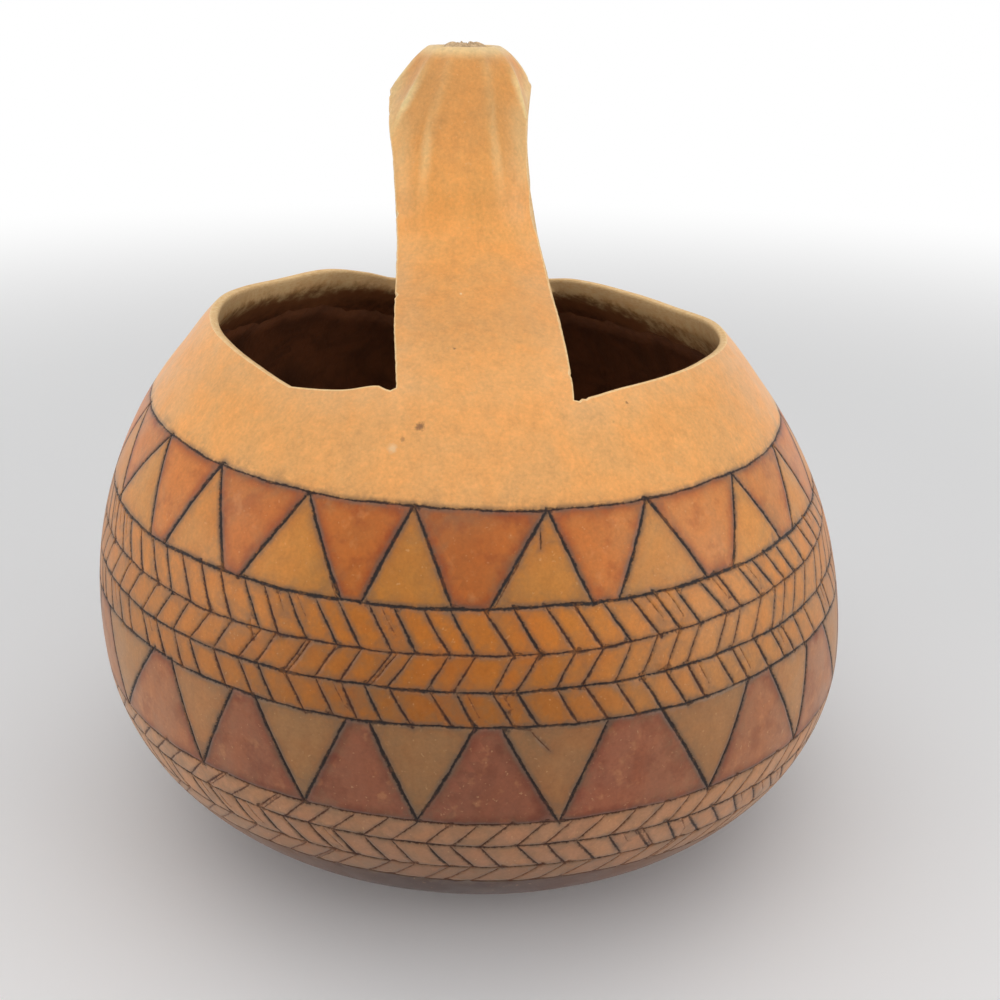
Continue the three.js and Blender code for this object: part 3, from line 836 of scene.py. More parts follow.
class Mouth:
    """One sawn mouth: the paths of its edge on both sides of the rind, and the rounded
    strip of sawn rind between them."""

    def __init__(self, left, outer, inner, look, hand):
        slip, width = self.saw_path(left, look, hand)
        rows = []
        for side in (outer, inner):
            theta, climb, on_rim = mouth_loop(side, left)
            path = to_disc(theta, climb)
            scale = disc_scale(side, theta, climb)
            path = path + outward(path) * (slip * scale)[:, None]
            corner = side.place(*from_disc(path))
            if side.outside:
                self.outer_path = path
                soft = reach = look.outer_round / MM * width
            else:
                soft = np.where(on_rim, 1.0, STRAP_ROUND) * look.inner_round / MM * width
                thick = np.linalg.norm(corner - rows[0][0], axis=1)
                soft = np.minimum(soft, ROUND_LIMIT * thick)
                reach = self.scraped_reach(soft, on_rim, look)
            eased = path + outward(path) * (reach * scale)[:, None]
            rows.append((corner, soft, eased, side.place(*from_disc(eased))))
        outer_corner, outer_soft, self.outer_hole, first = rows[0]
        inner_corner, inner_soft, self.inner_hole, last = rows[1]
        across = inner_corner - outer_corner
        across /= np.linalg.norm(across, axis=1)[:, None]
        on_outer = outer_corner + across * outer_soft[:, None]
        on_inner = inner_corner - across * inner_soft[:, None]
        flat = np.where(on_rim, RIM_LIP_FLAT, STRAP_LIP_FLAT)[:, None]
        bend = (1 - flat) * inner_corner + flat * (on_inner + last) / 2
        self.strip = [rounding(first, outer_corner, on_outer, t) for t in OUTER_STEPS]
        self.strip.append((on_outer + on_inner) / 2)
        self.strip += [rounding(on_inner, bend, last, t) for t in INNER_STEPS]

    def scraped_reach(self, soft, on_rim, look, ease=8):
        """How far down the inside the sanding goes: deepest along the rim."""
        reach = np.where(on_rim, look.scraped_depth / MM, soft)
        wrapped = np.concatenate([reach[-ease:], reach, reach[:ease]])
        window = 2 * ease + 1
        return np.convolve(wrapped, np.ones(window) / window, "same")[ease:-ease]

    def saw_path(self, left, look, hand, window=9):
        """How far the saw went into the rind beside its line, and how much each place of the
        edge is rounded."""
        strap_points = 2 * (EDGE_POINTS - 1)
        total = strap_points + RIM_POINTS - 1
        slips = look.saw_slips / MM
        rough = np.array([hand.random() for _ in range(total)])
        wrapped = np.concatenate([rough, rough[:window]])
        slow = np.convolve(wrapped, np.ones(window) / window, "same")[:total]
        on_strap = np.arange(total) < strap_points
        slip = np.where(on_strap, 0.45 * slips * slow + 0.22 * slips * rough, 0.3 * slips * slow)
        for _ in range(9 if left else 5):
            at = hand.randrange(3, 2 * EDGE_POINTS - 8)
            slip[at] += slips * hand.uniform(0.5, 1.2)
        for step, depth in LEFT_OVERCUT if left else RIGHT_OVERCUT:
            slip[step % total] += slips * depth
            slip[strap_points - step] += slips * depth
        width = 0.8 + 0.5 * slow
        width = np.where(on_strap, 0.7 * width, width)
        return slip, width


# ---- the engraved strokes


def scattered(cell, pace, start, spread):
    """A number from -0.5 to 0.5 for each cell, always the same for the same cell."""
    wave = np.sin(cell * pace + start) * spread
    return wave - np.floor(wave) - 0.5


class Stroke:
    """One engraved stroke on the unrolled belly: its middle line, half widths, depth and
    darkness."""

    def __init__(self, line, half, depth, dark):
        self.line = np.asarray(line, float)
        self.half = np.asarray(half, float)
        self.depth = depth
        self.dark = dark

    def shifted(self, by):
        return Stroke(self.line + [by, 0], self.half, self.depth, self.dark)


class Pattern:
    """The carved bands, unrolled: across is the angle times the widest radius, up is the climb."""

    def __init__(self, outer, look):
        self.outer = outer
        self.look = look
        self.hand = random.Random(look.seed)
        self.depth = look.line_depth / MM
        self.width = look.line_width
        self.phases = [[self.hand.uniform(0, TURN) for _ in range(6)] for _ in RINGS]
        self.left = WIDEST_RADIUS * SEAM
        self.right = self.left + WIDEST_RADIUS * TURN
        self.strokes = []
        self.upper = self.all_triangles(UPPER_TRIANGLES)
        self.lower = self.all_triangles(LOWER_TRIANGLES)
        self.draw_triangles(self.upper, *UPPER_ENDS)
        self.draw_triangles(self.lower, *LOWER_ENDS)
        self.rows = {}
        for share, rows in STROKE_ROWS:
            self.draw_rows(round(look.strokes * share), rows)
        for *ends, half, dark in STRAY_STROKES:
            places = []
            for turn, up in ends:
                climb = float(outer.climb_of(WIDEST_HEIGHT + up))
                places.append((math.radians(turn) * WIDEST_RADIUS, climb))
            self.add_stroke(*places, half, dark, over=0.0)
        copies = []
        for stroke in self.strokes:
            if stroke.line[:, 0].max() > self.right - OVERLAP:
                copies.append(stroke.shifted(self.left - self.right))
            if stroke.line[:, 0].min() < self.left + OVERLAP:
                copies.append(stroke.shifted(self.right - self.left))
        self.strokes += copies

    def ring_climb(self, ring, across):
        """Climb of an engraved ring, with the small waver of a hand."""
        level, to_right, to_back = RINGS[ring][:3]
        theta = across / WIDEST_RADIUS
        waver = 0
        for (pace, height), phase in zip(RING_WAVES, self.phases[ring]):
            waver = waver + height * np.sin(pace * theta + phase)
        height = level + to_right * np.cos(theta) + to_back * np.sin(theta) + RING_WAVER * waver
        return self.outer.climb_of(WIDEST_HEIGHT + height)

    def ring_half(self, ring, across):
        """Half the width of an engraved ring."""
        theta = across / WIDEST_RADIUS
        p = self.phases[ring]
        change = np.sin(19 * theta + p[5]) + np.sin(43 * theta + p[0])
        change = change + 0.7 * np.sin(131 * theta + p[1])
        return self.width * RINGS[ring][3] * (1 + LINE_CHANGE * change)

    def all_triangles(self, front):
        """The front's triangles as read, and the rest in an even step, in millimetres across."""
        shapes = [tuple(math.radians(value) for value in shape) for shape in front]
        step = TURN / TRIANGLES_AROUND
        start, end = shapes[-1][0], shapes[0][0] + TURN
        count = round((end - start) / step)
        for k in range(1, count):
            point = start + (end - start) * k / count + math.radians(self.hand.uniform(-0.8, 0.8))
            half = step * self.hand.uniform(0.36, 0.43)
            lean = math.radians(self.hand.uniform(-1, 1))
            shapes.append((point, point + lean - half, point + lean + half))
        unrolled = []
        for shape in shapes:
            back = TURN * WIDEST_RADIUS if shape[0] * WIDEST_RADIUS > self.right else 0
            unrolled.append(tuple(value * WIDEST_RADIUS - back for value in shape))
        return unrolled

    def add_stroke(self, start, end, half, dark, over=0.7, depth=1.0, heavy=0.0):
        """A stroke from one place to another, which runs on a little past both. The tool
        bites heavier towards the end."""
        hand = self.hand
        start, end = np.array(start, float), np.array(end, float)
        way = end - start
        length = np.linalg.norm(way)
        way /= length
        beside = np.array([-way[1], way[0]])
        start = start - way * hand.uniform(-0.25, over)
        end = end + way * hand.uniform(-0.25, over)
        length = np.linalg.norm(end - start)
        count = max(4, round(length / STROKE_STEP) + 1)
        t = np.linspace(0, 1, count)
        bow = hand.uniform(-0.014, 0.014) * length
        shake = np.array([hand.uniform(-0.09, 0.09) for _ in t])
        swing = bow * np.sin(math.pi * t) + shake * np.sin(math.pi * t)
        line = start + (end - start) * t[:, None] + beside * swing[:, None]
        press = hand.uniform(0.85, 1.12)
        heavy = heavy + hand.uniform(-0.25, 0.25)
        widths = np.array([hand.uniform(0.84, 1.16) for _ in t]) * press * (1 + heavy * (t - 0.5))
        ends = np.clip(np.minimum(t * length / 1.4, (1 - t) * length / 0.6), 0, 1) ** 0.6
        halves = self.width * half * widths * (0.5 + 0.5 * ends)
        self.strokes.append(Stroke(line, halves, self.depth * depth * press, dark))

    def draw_triangles(self, shapes, point_ring, foot_ring):
        """Both sides of each triangle, from its point; some are cut a second time."""
        for point, left, right in shapes:
            tip = (point, float(self.ring_climb(point_ring, point)))
            for foot in (left, right):
                end = (foot, float(self.ring_climb(foot_ring, foot)))
                shift = self.hand.uniform(-0.25, 0.25)
                self.add_stroke((tip[0] + shift, tip[1]), end, 0.44, 1.0, over=0.9, depth=1.15)
                if self.hand.random() < 0.12:
                    beside = (end[0] + self.hand.choice((-1, 1)) * 0.9, end[1])
                    along = (tip[0] * 0.6 + end[0] * 0.4, tip[1] * 0.6 + end[1] * 0.4)
                    self.add_stroke(along, beside, 0.15, 0.6)

    def draw_rows(self, count, rows):
        """Rows of slanting strokes that follow one another down, end to end."""
        hand = self.hand
        step = (self.right - self.left) / count
        tops = np.cumsum([step * hand.uniform(0.84, 1.16) for _ in range(count)])
        tops = self.left + tops * (self.right - self.left) / tops[-1] - step * 0.4
        for upper, lower, run, half, dark in rows:
            feet = tops + run * step + np.array([hand.uniform(-0.1, 0.1) * step for _ in tops])
            self.rows[upper] = (np.sort(tops), run * step)
            for top, foot in zip(tops, feet):
                start = (top, float(self.ring_climb(upper, top)))
                end = (foot, float(self.ring_climb(lower, foot)))
                self.add_stroke(
                    start, end, half, dark * hand.uniform(0.8, 1.1), over=0.9, heavy=0.35
                )
                if half > 0.3 and hand.random() < 0.22:
                    gap, end_share = hand.uniform(0.3, 0.6) * step, hand.uniform(0.45, 0.8)
                    scratch = (start[0] + gap, start[1])
                    run = (end[0] - start[0]) * end_share
                    fall = (end[1] - start[1]) * end_share
                    stop = (scratch[0] + run, start[1] + fall)
                    self.add_stroke(scratch, stop, 0.1, 0.38, over=0.0, depth=0.4)
                if hand.random() < (0.1 if half < 0.3 else 0.02):
                    gap = hand.uniform(0.8, 1.3)
                    self.add_stroke(
                        (start[0] + gap, start[1]), (end[0] + gap, end[1]), half * 0.55, dark * 0.7
                    )
            tops = feet + np.array([hand.uniform(-0.09, 0.09) * step for _ in tops])

    def lines_and_points(self):
        """Lines that the mesh has to follow, and points to either side of them."""
        chains, free = [], []
        for ring in range(len(RINGS)):
            count = int((self.right - self.left + 2 * OVERLAP) / RING_STEP) + 1
            across = self.left - OVERLAP + np.arange(0, count) * RING_STEP
            middle = np.stack([across, self.ring_climb(ring, across)], 1)
            half = self.ring_half(ring, across)
            grow = WIDEST_RADIUS / self.outer.radius_of(across / WIDEST_RADIUS, middle[:, 1])
            for offset in (0, 1, -1):
                chains.append(middle + np.stack([0 * across, offset * half * grow], 1))
            for offset in (1, -1):
                free.append(
                    middle + np.stack([0 * across, offset * (half + BESIDE_LINE) * grow], 1)
                )
        for stroke in self.strokes:
            line = stroke.line
            way = np.gradient(line, axis=0)
            way /= np.linalg.norm(way, axis=1)[:, None]
            beside = np.stack([-way[:, 1], way[:, 0]], 1)
            grow = WIDEST_RADIUS / self.outer.radius_of(line[:, 0] / WIDEST_RADIUS, line[:, 1])
            chains.append(line)
            for offset in (1, -1):
                edge = line + beside * (offset * stroke.half * grow)[:, None]
                edge[0], edge[-1] = line[0], line[-1]
                chains.append(edge)
                apart = offset * (stroke.half + BESIDE_LINE) * grow
                free.append((line + beside * apart[:, None])[1:-1])
        return chains, free

    def measure(self, across, climb):
        """For each place: millimetres from the edge of the nearest line (below zero inside
        it), depth of the cut, and darkness of that line."""
        shrink = self.outer.radius_of(across / WIDEST_RADIUS, climb) / WIDEST_RADIUS
        near = np.full(across.shape, REACH)
        depth = np.zeros(across.shape)
        dark = np.full(across.shape, USUAL_DARK)
        for ring in range(len(RINGS)):
            rise = self.ring_climb(ring, across + 0.2) - self.ring_climb(ring, across - 0.2)
            slope = rise / 0.4
            gap = np.abs(climb - self.ring_climb(ring, across))
            gap = gap / np.sqrt(1 + slope * slope) * shrink
            half = self.ring_half(ring, across)
            closer = gap - half < near
            near = np.where(closer, gap - half, near)
            dark = np.where(closer, RINGS[ring][4], dark)
            depth = np.maximum(depth, self.depth * np.clip(1 - gap / half, 0, 1))
        order = np.argsort(across)
        sorted_across = across[order]
        for stroke in self.strokes:
            low, high = stroke.line.min(axis=0) - 5, stroke.line.max(axis=0) + 5
            first, last = np.searchsorted(sorted_across, (low[0], high[0]))
            chosen = order[first:last]
            chosen = chosen[(climb[chosen] > low[1]) & (climb[chosen] < high[1])]
            if not len(chosen):
                continue
            point = np.stack([across[chosen], climb[chosen]], 1)[:, None, :]
            away, run = point - stroke.line[None, :-1], np.diff(stroke.line, axis=0)[None]
            share = np.clip(np.sum(away * run, axis=2) / np.sum(run * run, axis=2), 0, 1)
            gaps = np.linalg.norm(away - share[..., None] * run, axis=2)
            best = np.argmin(gaps, axis=1)
            rows = np.arange(len(chosen))
            gap = gaps[rows, best] * shrink[chosen]
            wider = stroke.half[best + 1] - stroke.half[best]
            half = stroke.half[best] + wider * share[rows, best]
            cut = stroke.depth * np.clip(1 - gap / half, 0, 1)
            closer = gap - half < near[chosen]
            near[chosen] = np.where(closer, gap - half, near[chosen])
            dark[chosen] = np.where(closer, stroke.dark, dark[chosen])
            depth[chosen] = np.maximum(depth[chosen], cut)
        return near, depth, dark

    def stain(self, across, climb):
        """Colour and pooling of the stain for places on the belly, with painted shade: the rows
        darker downwards and the front darker.
        """
        look = self.look
        rings = np.array([self.ring_climb(ring, across) for ring in range(len(RINGS))])
        band = np.sum(climb[None] < rings, axis=0)
        bands = [look.rind, look.russet, *3 * [look.honey], look.plum, *3 * [look.blush], look.base]
        # each band's colour scaled by the painted shade of its row
        colour = (np.array(bands) * np.array(PAINTED_BAND_SHADE)[:, None])[band]
        pool = np.zeros(across.shape)
        cell = np.zeros(across.shape)
        upper_zone = (UPPER_ZONE, self.upper, *UPPER_ENDS, look.ochre)
        lower_zone = (LOWER_ZONE, self.lower, *LOWER_ENDS, look.clay)
        for zone, shapes, point_ring, foot_ring, light in (upper_zone, lower_zone):
            here = band == zone
            pool[here] = 1.0
            share = (climb - rings[foot_ring]) / (rings[point_ring] - rings[foot_ring])
            for number, (point, left, right) in enumerate(shapes):
                for shift in (0, self.right - self.left, self.left - self.right):
                    start = left + (point - left) * share + shift
                    end = right + (point - right) * share + shift
                    within = here & (across > start) & (across < end)
                    colour[within] = light
                    pool[within] = 0.25
                    cell[within] = number + 1
                    ground = here & (across >= end) & (across < end + 30) & (cell == 0)
                    cell[ground] = 50.5 + number
        for upper, (tops, run) in self.rows.items():
            here = band == upper + 1
            share = (rings[upper] - climb) / np.maximum(rings[upper] - rings[upper + 1], 0.1)
            cell[here] = np.searchsorted(tops, (across - run * share)[here]) + 100 * upper
        triangles = (band == UPPER_ZONE) | (band == LOWER_ZONE)
        rows = (band > 0) & (band < len(RINGS))
        amount = np.where(triangles, TRIANGLE_CHANGE, np.where(rows, STROKE_CHANGE, 0))
        colour = colour * (1 + amount * scattered(cell, 12.9898, 4.1, 43758.5453))[:, None]
        colour[:, 1] *= 1 + 0.5 * amount * scattered(cell, 78.233, 1.7, 24634.6345)
        angle = np.degrees(across / WIDEST_RADIUS)
        lower = band >= LOWER_ZONE
        upper_thin, lower_thin = [curve(angle) for curve in THIN_CURVES]
        thin = np.where(lower, lower_thin, np.where(band > 0, upper_thin, 0))[:, None]
        bare = np.array(look.rind) * np.where(lower, 0.8, 0.95)[:, None]
        colour = (1 - thin) * colour + thin * bare
        # painted shade: the front of the belly darker, and the underside's front darker still as a
        # painted contact shadow
        front_shade = np.where(lower[:, None], LOW_FRONT_SHADE, HIGH_FRONT_SHADE)
        front_shade = np.where((band == 0)[:, None], 0.0, front_shade)
        front_shade = np.where((band == len(RINGS))[:, None], BASE_FRONT_SHADE, front_shade)
        front = np.exp(-(((angle - SHADED_FRONT_ANGLE) / SHADED_FRONT_SPREAD) ** 2))
        return colour * (1 - front_shade * front[:, None]), pool


# ---- meshes


def triangulate(chains, free):
    """A triangle mesh through points, which follows the given lines."""
    points, edges = [], []
    for chain, closed in chains:
        first = len(points)
        points.extend(chain)
        edges.extend((first + k, first + k + 1) for k in range(len(chain) - 1))
        if closed:
            edges.append((first + len(chain) - 1, first))
    points.extend(free)
    corners = [Vector((float(x), float(y))) for x, y in points]
    result = delaunay_2d_cdt(corners, edges, [], 0, 1e-4)
    return np.array([(v.x, v.y) for v in result[0]]), np.array(result[2])


def only_used(points, faces):
    """The points that triangles use, and the triangles with their new numbers."""
    used, faces = np.unique(faces, return_inverse=True)
    return points[used], faces.reshape(-1, 3)


def ring_faces(rings, width):
    """Faces between rings of places that follow one another in a list."""
    faces = []
    for row in range(rings - 1):
        here, after = row * width, (row + 1) * width
        for k in range(width):
            n = (k + 1) % width
            faces.append((here + k, here + n, after + n, after + k))
    return faces


class Sheet:
    """Vertices, faces and what the paint needs to know, gathered from patches of mesh."""

    USUAL = {
        "near_line": REACH,
        "dark_line": USUAL_DARK,
        "near_edge": EDGE_REACH,
        "near_ridge": EDGE_REACH,
        "bare": 0.0,
        "inside": 0.0,
        "scraped": 0.0,
    }

    def __init__(self):
        self.places, self.faces, self.stains = [], [], []
        self.values = {name: [] for name in self.USUAL}
        self.count = 0

    def add(self, places, faces, stains, **values):
        """A patch: its places, its faces with their stain, and values that aren't the usual."""
        self.places.append(places)
        for name, usual in self.USUAL.items():
            value = np.asarray(values.get(name, usual), float)
            self.values[name].append(np.broadcast_to(value, (len(places),)))
        self.faces.extend([tuple(int(i) + self.count for i in face) for face in faces])
        self.stains.append(stains)
        self.count += len(places)

    def add_rings(self, rings, stain, pole=None, **values):
        """Rings of equal length, each joined to the next, and the last to a point."""
        width = len(rings[0])
        places = list(rings)
        faces = ring_faces(len(rings), width)
        if pole is not None:
            places.append(np.asarray(pole, float)[None])
            last, top = (len(rings) - 1) * width, len(rings) * width
            faces.extend((last + k, last + (k + 1) % width, top) for k in range(width))
        stains = np.tile(np.append(stain, 0.0), (len(faces), 1))
        self.add(np.concatenate(places), faces, stains, **values)

    def to_object(self, name, material):
        """The patches welded into one closed mesh."""
        mesh = bpy.data.meshes.new(name)
        mesh.from_pydata((np.concatenate(self.places) * MM).tolist(), [], self.faces)
        for key, parts in self.values.items():
            layer = mesh.attributes.new(key, "FLOAT", "POINT")
            layer.data.foreach_set("value", np.concatenate(parts).astype(np.float32))
        sizes = np.array([len(face) for face in self.faces])
        stain = np.repeat(np.concatenate(self.stains), sizes, axis=0).astype(np.float32)
        layer = mesh.attributes.new("stain", "FLOAT_COLOR", "CORNER")
        layer.data.foreach_set("color", stain.ravel())
        work = bmesh.new()
        work.from_mesh(mesh)
        bmesh.ops.remove_doubles(work, verts=work.verts, dist=WELD)
        border = {v for edge in work.edges if len(edge.link_faces) == 1 for v in edge.verts}
        border = sorted(border, key=lambda corner: corner.index)
        bmesh.ops.remove_doubles(work, verts=border, dist=SEAM_WELD)
        bmesh.ops.dissolve_degenerate(work, edges=work.edges, dist=SHORTEST)
        fins = [True]
        while fins:
            fins = []
            for face in work.faces:
                shared = [len(edge.link_faces) for edge in face.edges]
                if min(shared) == 1 and max(shared) > 2:
                    fins.append(face)
            bmesh.ops.delete(work, geom=fins, context="FACES")
        doubled = [edge for edge in work.edges if len(edge.link_faces) > 2]
        bmesh.ops.collapse(work, edges=doubled)
        bmesh.ops.recalc_face_normals(work, faces=work.faces)
        loose = sum(1 for edge in work.edges if len(edge.link_faces) != 2)
        print(name, "vertices", len(work.verts), "faces", len(work.faces), "edges left open", loose)
        for face in work.faces:
            face.smooth = True
        work.to_mesh(mesh)
        work.free()
        mesh.materials.append(material)
        thing = bpy.data.objects.new(name, mesh)
        bpy.context.collection.objects.link(thing)
        return thing


def add_belly(sheet, outer, pattern):
    """The engraved part of the belly."""
    low = float(outer.climb_of(WIDEST_HEIGHT + PATTERN_FOOT))
    high = float(outer.climb_of(WIDEST_HEIGHT + PATTERN_TOP))
    columns = np.linspace(pattern.left, pattern.right, JOIN_COLUMNS + 1)
    seam = np.linspace(low, high, round((high - low) / SEAM_STEP) + 1)
    lines, beside = pattern.lines_and_points()
    chains = [(line, False) for line in lines]
    for level in (low, high):
        chains.append((np.stack([columns, np.full(columns.shape, level)], 1), False))
    for edge in (pattern.left, pattern.right):
        chains.append((np.stack([np.full(seam.shape, edge), seam], 1), False))
    step = MESH_STEP
    rows = np.arange(low + step, high - step / 2, step * MESH_ROW)
    fill = []
    for number, row in enumerate(rows):
        start = pattern.left + step * (0.5 + 0.5 * (number % 2))
        across = np.arange(start, pattern.right - step * 0.4, step)
        fill.append(np.stack([across, np.full(across.shape, row)], 1))
    fill = np.concatenate(fill)
    near, _, _ = pattern.measure(fill[:, 0], fill[:, 1])
    free = np.concatenate([fill[near > CLEAR_OF_LINE]] + beside)
    inside = (free[:, 1] > low + CLEAR_OF_BORDER) & (free[:, 1] < high - CLEAR_OF_BORDER)
    points, faces = triangulate(chains, free[inside])
    centre = points[faces].mean(axis=1)
    kept = (centre[:, 0] > pattern.left) & (centre[:, 0] < pattern.right)
    kept &= (centre[:, 1] > low) & (centre[:, 1] < high)
    colour, pool = pattern.stain(centre[kept][:, 0], centre[kept][:, 1])
    points, faces = only_used(points, faces[kept])
    near, depth, dark = pattern.measure(points[:, 0], points[:, 1])
    places = outer.place(points[:, 0] / WIDEST_RADIUS, points[:, 1], depth)
    sheet.add(
        places, faces, np.concatenate([colour, pool[:, None]], 1), near_line=near, dark_line=dark
    )


def add_underside(sheet, outer, look):
    """From the pattern down to the flat and into the dimple."""
    theta = SEAM + TURN * np.arange(JOIN_COLUMNS) / JOIN_COLUMNS
    start, end = float(outer.climb_of(WIDEST_HEIGHT + PATTERN_FOOT)), float(outer.climb[0])
    climbs = np.linspace(start, end, UNDERSIDE_RINGS)
    rings = [outer.place(theta, np.full(theta.shape, climb)) for climb in climbs]
    flat = [(float(outer.radius[0]) - 1.5, 0), (22, 0), (15, 0), (10.2, 0)]
    dimple = [(SCAR_RADIUS + GAP + DIMPLE_SLOPE + 0.4, 0.03), (8.5, 0.25), (6.4, 1.72), (5.9, 2.0)]
    ceiling = [(5.3, DIMPLE_DEPTH), (3, DIMPLE_DEPTH)]
    for radius, z in flat + dimple + ceiling:
        x, y = axis_at(z) + radius * np.cos(theta), radius * np.sin(theta)
        rings.append(np.stack([x, y, np.full(theta.shape, z)], 1))
    sheet.add_rings(rings, look.base, pole=(axis_at(DIMPLE_DEPTH), 0, DIMPLE_DEPTH))


def disc_patch(sheet, side, holes, rings, ridges, stain, values):
    """The top of one side of the rind, spread on a disc, with the mouths left out."""
    chains = [(hole, True) for hole in holes]
    free = []
    for climb, count, turned in rings:
        theta = SEAM + TURN * (np.arange(count) + turned) / count
        free.append(to_disc(theta, np.full(theta.shape, climb)))
    boundary, free = free[0], np.concatenate(free[1:])
    chains.append((boundary, True))

    def clear(points, gap):
        theta, climb = from_disc(points)
        scale = disc_scale(side, theta, climb)
        fine = np.ones(len(points), bool)
        for hole in holes:
            fine &= ~inside_path(points, hole) & (distance_to_path(points, hole) > gap * scale)
        return fine

    free = free[clear(free, 0.7)]
    for ridge in ridges:
        fine = clear(ridge, 0.9)
        start = None
        for k in range(len(ridge) + 1):
            if k < len(ridge) and fine[k]:
                start = k if start is None else start
            elif start is not None:
                if k - start > 1:
                    chains.append((ridge[start:k], False))
                start = None
    points, faces = triangulate(chains, list(free) + [(0.0, 0.0)])
    centre = points[faces].mean(axis=1)
    kept = inside_path(centre, boundary)
    for hole in holes:
        kept &= ~inside_path(centre, hole)
    points, faces = only_used(points, faces[kept])
    theta, climb = from_disc(points)
    places = side.place(theta, climb)
    if not side.outside:
        faces = faces[:, ::-1]
    sheet.add(
        places, faces, stain(side.z_of(climb)[faces].mean(axis=1)), **values(points, theta, climb)
    )


def add_top(sheet, outer, mouths, look):
    """Shoulder, strap and fluted crown outside."""
    high = float(outer.climb_of(WIDEST_HEIGHT + PATTERN_TOP))
    crest = float(outer.climb_of(CREST_HEIGHT))
    rings = [(high, JOIN_COLUMNS, 0.0)]
    climb, number = high, 0
    while True:
        climb += TOP_STEP * WIDEST_RADIUS / float(outer.radius_of(SPACING_ANGLE, climb))
        if climb > crest - 3:
            break
        number += 1
        around = TURN * float(outer.radius_of(SPACING_ANGLE, climb))
        rings.append((climb, max(40, round(around / TOP_SPACING)), 0.5 * (number % 2)))
    narrowing = -outer.radius[outer.highest :]
    for radius, count in LIP_RINGS:
        lip = float(np.interp(-radius, narrowing, outer.climb[outer.highest :]))
        rings.append((lip if radius < CREST_RADIUS else crest, count, 0.0))
    ridges = []
    bottom = float(outer.climb_of(CREST_HEIGHT - FLUTE_LENGTH))
    for ridge in FLUTE_RIDGES:
        climbs = np.linspace(bottom, crest - 1.5, 26)
        for beside in (0, 0.55, -0.55):
            theta = math.radians(ridge) + beside / outer.radius_of(math.radians(ridge), climbs)
            ridges.append(to_disc(theta, climbs))

    def values(points, theta, climb):
        scale = disc_scale(outer, theta, climb)
        near = np.full(len(points), EDGE_REACH)
        for mouth in mouths:
            near = np.minimum(near, distance_to_path(points, mouth.outer_path) / scale)
        turn = theta[:, None] - np.radians(np.array(FLUTE_RIDGES))[None]
        turn = np.abs(np.mod(turn + math.pi, TURN) - math.pi).min(axis=1)
        ridge = np.minimum(turn * outer.radius_of(theta, climb), EDGE_REACH)
        return {"near_edge": near, "near_ridge": ridge}

    def stain(height):
        rise = smooth(height, 136, 158)[:, None]
        colour = (1 - rise) * np.array(look.rind) + rise * np.array(look.strap)
        return np.concatenate([colour, 0 * rise], 1)

    disc_patch(sheet, outer, [mouth.outer_hole for mouth in mouths], rings, ridges, stain, values)


def add_inside(sheet, inner, mouths, look):
    """Inside of the shoulder, strap and crown, and of the bowl below."""
    join = float(inner.climb_of(WIDEST_HEIGHT + INNER_JOIN))
    columns = JOIN_COLUMNS // 2
    rings = [(join, columns, 0.0)]
    climb, number = join, 0
    while True:
        radius = float(inner.radius_of(SPACING_ANGLE, climb))
        climb += INSIDE_STEP * WIDEST_RADIUS / radius
        if radius < 5:
            break
        number += 1
        around = TURN * float(inner.radius_of(SPACING_ANGLE, climb))
        rings.append((climb, max(10, round(around / INSIDE_SPACING)), 0.5 * (number % 2)))

    def values(points, theta, climb):
        return {"inside": 1.0, "scraped": scraped_share(theta, inner.z_of(climb))}

    def stain(height):
        return np.tile(np.append(look.flesh, 0.0), (len(height), 1))

    disc_patch(sheet, inner, [mouth.inner_hole for mouth in mouths], rings, [], stain, values)
    theta = SEAM + TURN * np.arange(columns) / columns
    climbs = inner.climb_of(np.array(BOWL_HEIGHTS))
    bowl = [inner.place(theta, np.full(theta.shape, climb))[::-1] for climb in climbs]
    pole = (axis_at(FLOOR), 0, FLOOR)
    sheet.add_rings(bowl, look.flesh, pole=pole, inside=1.0, scraped=BOWL_SCRAPED)


def add_sawn_strip(sheet, mouth, look):
    """The rounded strip of sawn rind round one mouth."""
    width, depth = len(mouth.strip[0]), len(mouth.strip)
    places = np.concatenate(mouth.strip)
    turned = [0.0] * (depth - len(INNER_STEPS)) + [t**1.5 for t in INNER_STEPS]
    theta = np.arctan2(places[:, 1], places[:, 0] - axis_at(places[:, 2]))
    theta = np.where(theta > math.pi / 2, theta - TURN, theta)
    sheet.add_rings(
        mouth.strip,
        look.flesh,
        bare=np.repeat([0.0] + [1.0] * (depth - 1), width),
        inside=np.repeat(turned, width),
        near_edge=np.repeat([0.4, 0.2] + [0.0] * (depth - 2), width),
        scraped=scraped_share(theta, places[:, 2]),
    )


# ---- paint


class Wire:
    """A socket that can be reckoned with: each sum or product adds a Math node."""

    def __init__(self, paint, socket):
        self.paint = paint
        self.socket = socket

    def reckon(self, operation, *terms):
        return self.paint.node("ShaderNodeMath", {"operation": operation}, dict(enumerate(terms)))

    def __add__(self, other):
        return self.reckon("ADD", self, other)

    __radd__ = __add__

    def __mul__(self, other):
        return self.reckon("MULTIPLY", self, other)

    __rmul__ = __mul__

    def __sub__(self, other):
        return self.reckon("SUBTRACT", self, other)

    def __rsub__(self, other):
        return self.reckon("SUBTRACT", other, self)

    def __truediv__(self, other):
        return self.reckon("DIVIDE", self, other)

    def at_most(self, other):
        return self.reckon("MINIMUM", self, other)

    def at_least(self, other):
        return self.reckon("MAXIMUM", self, other)


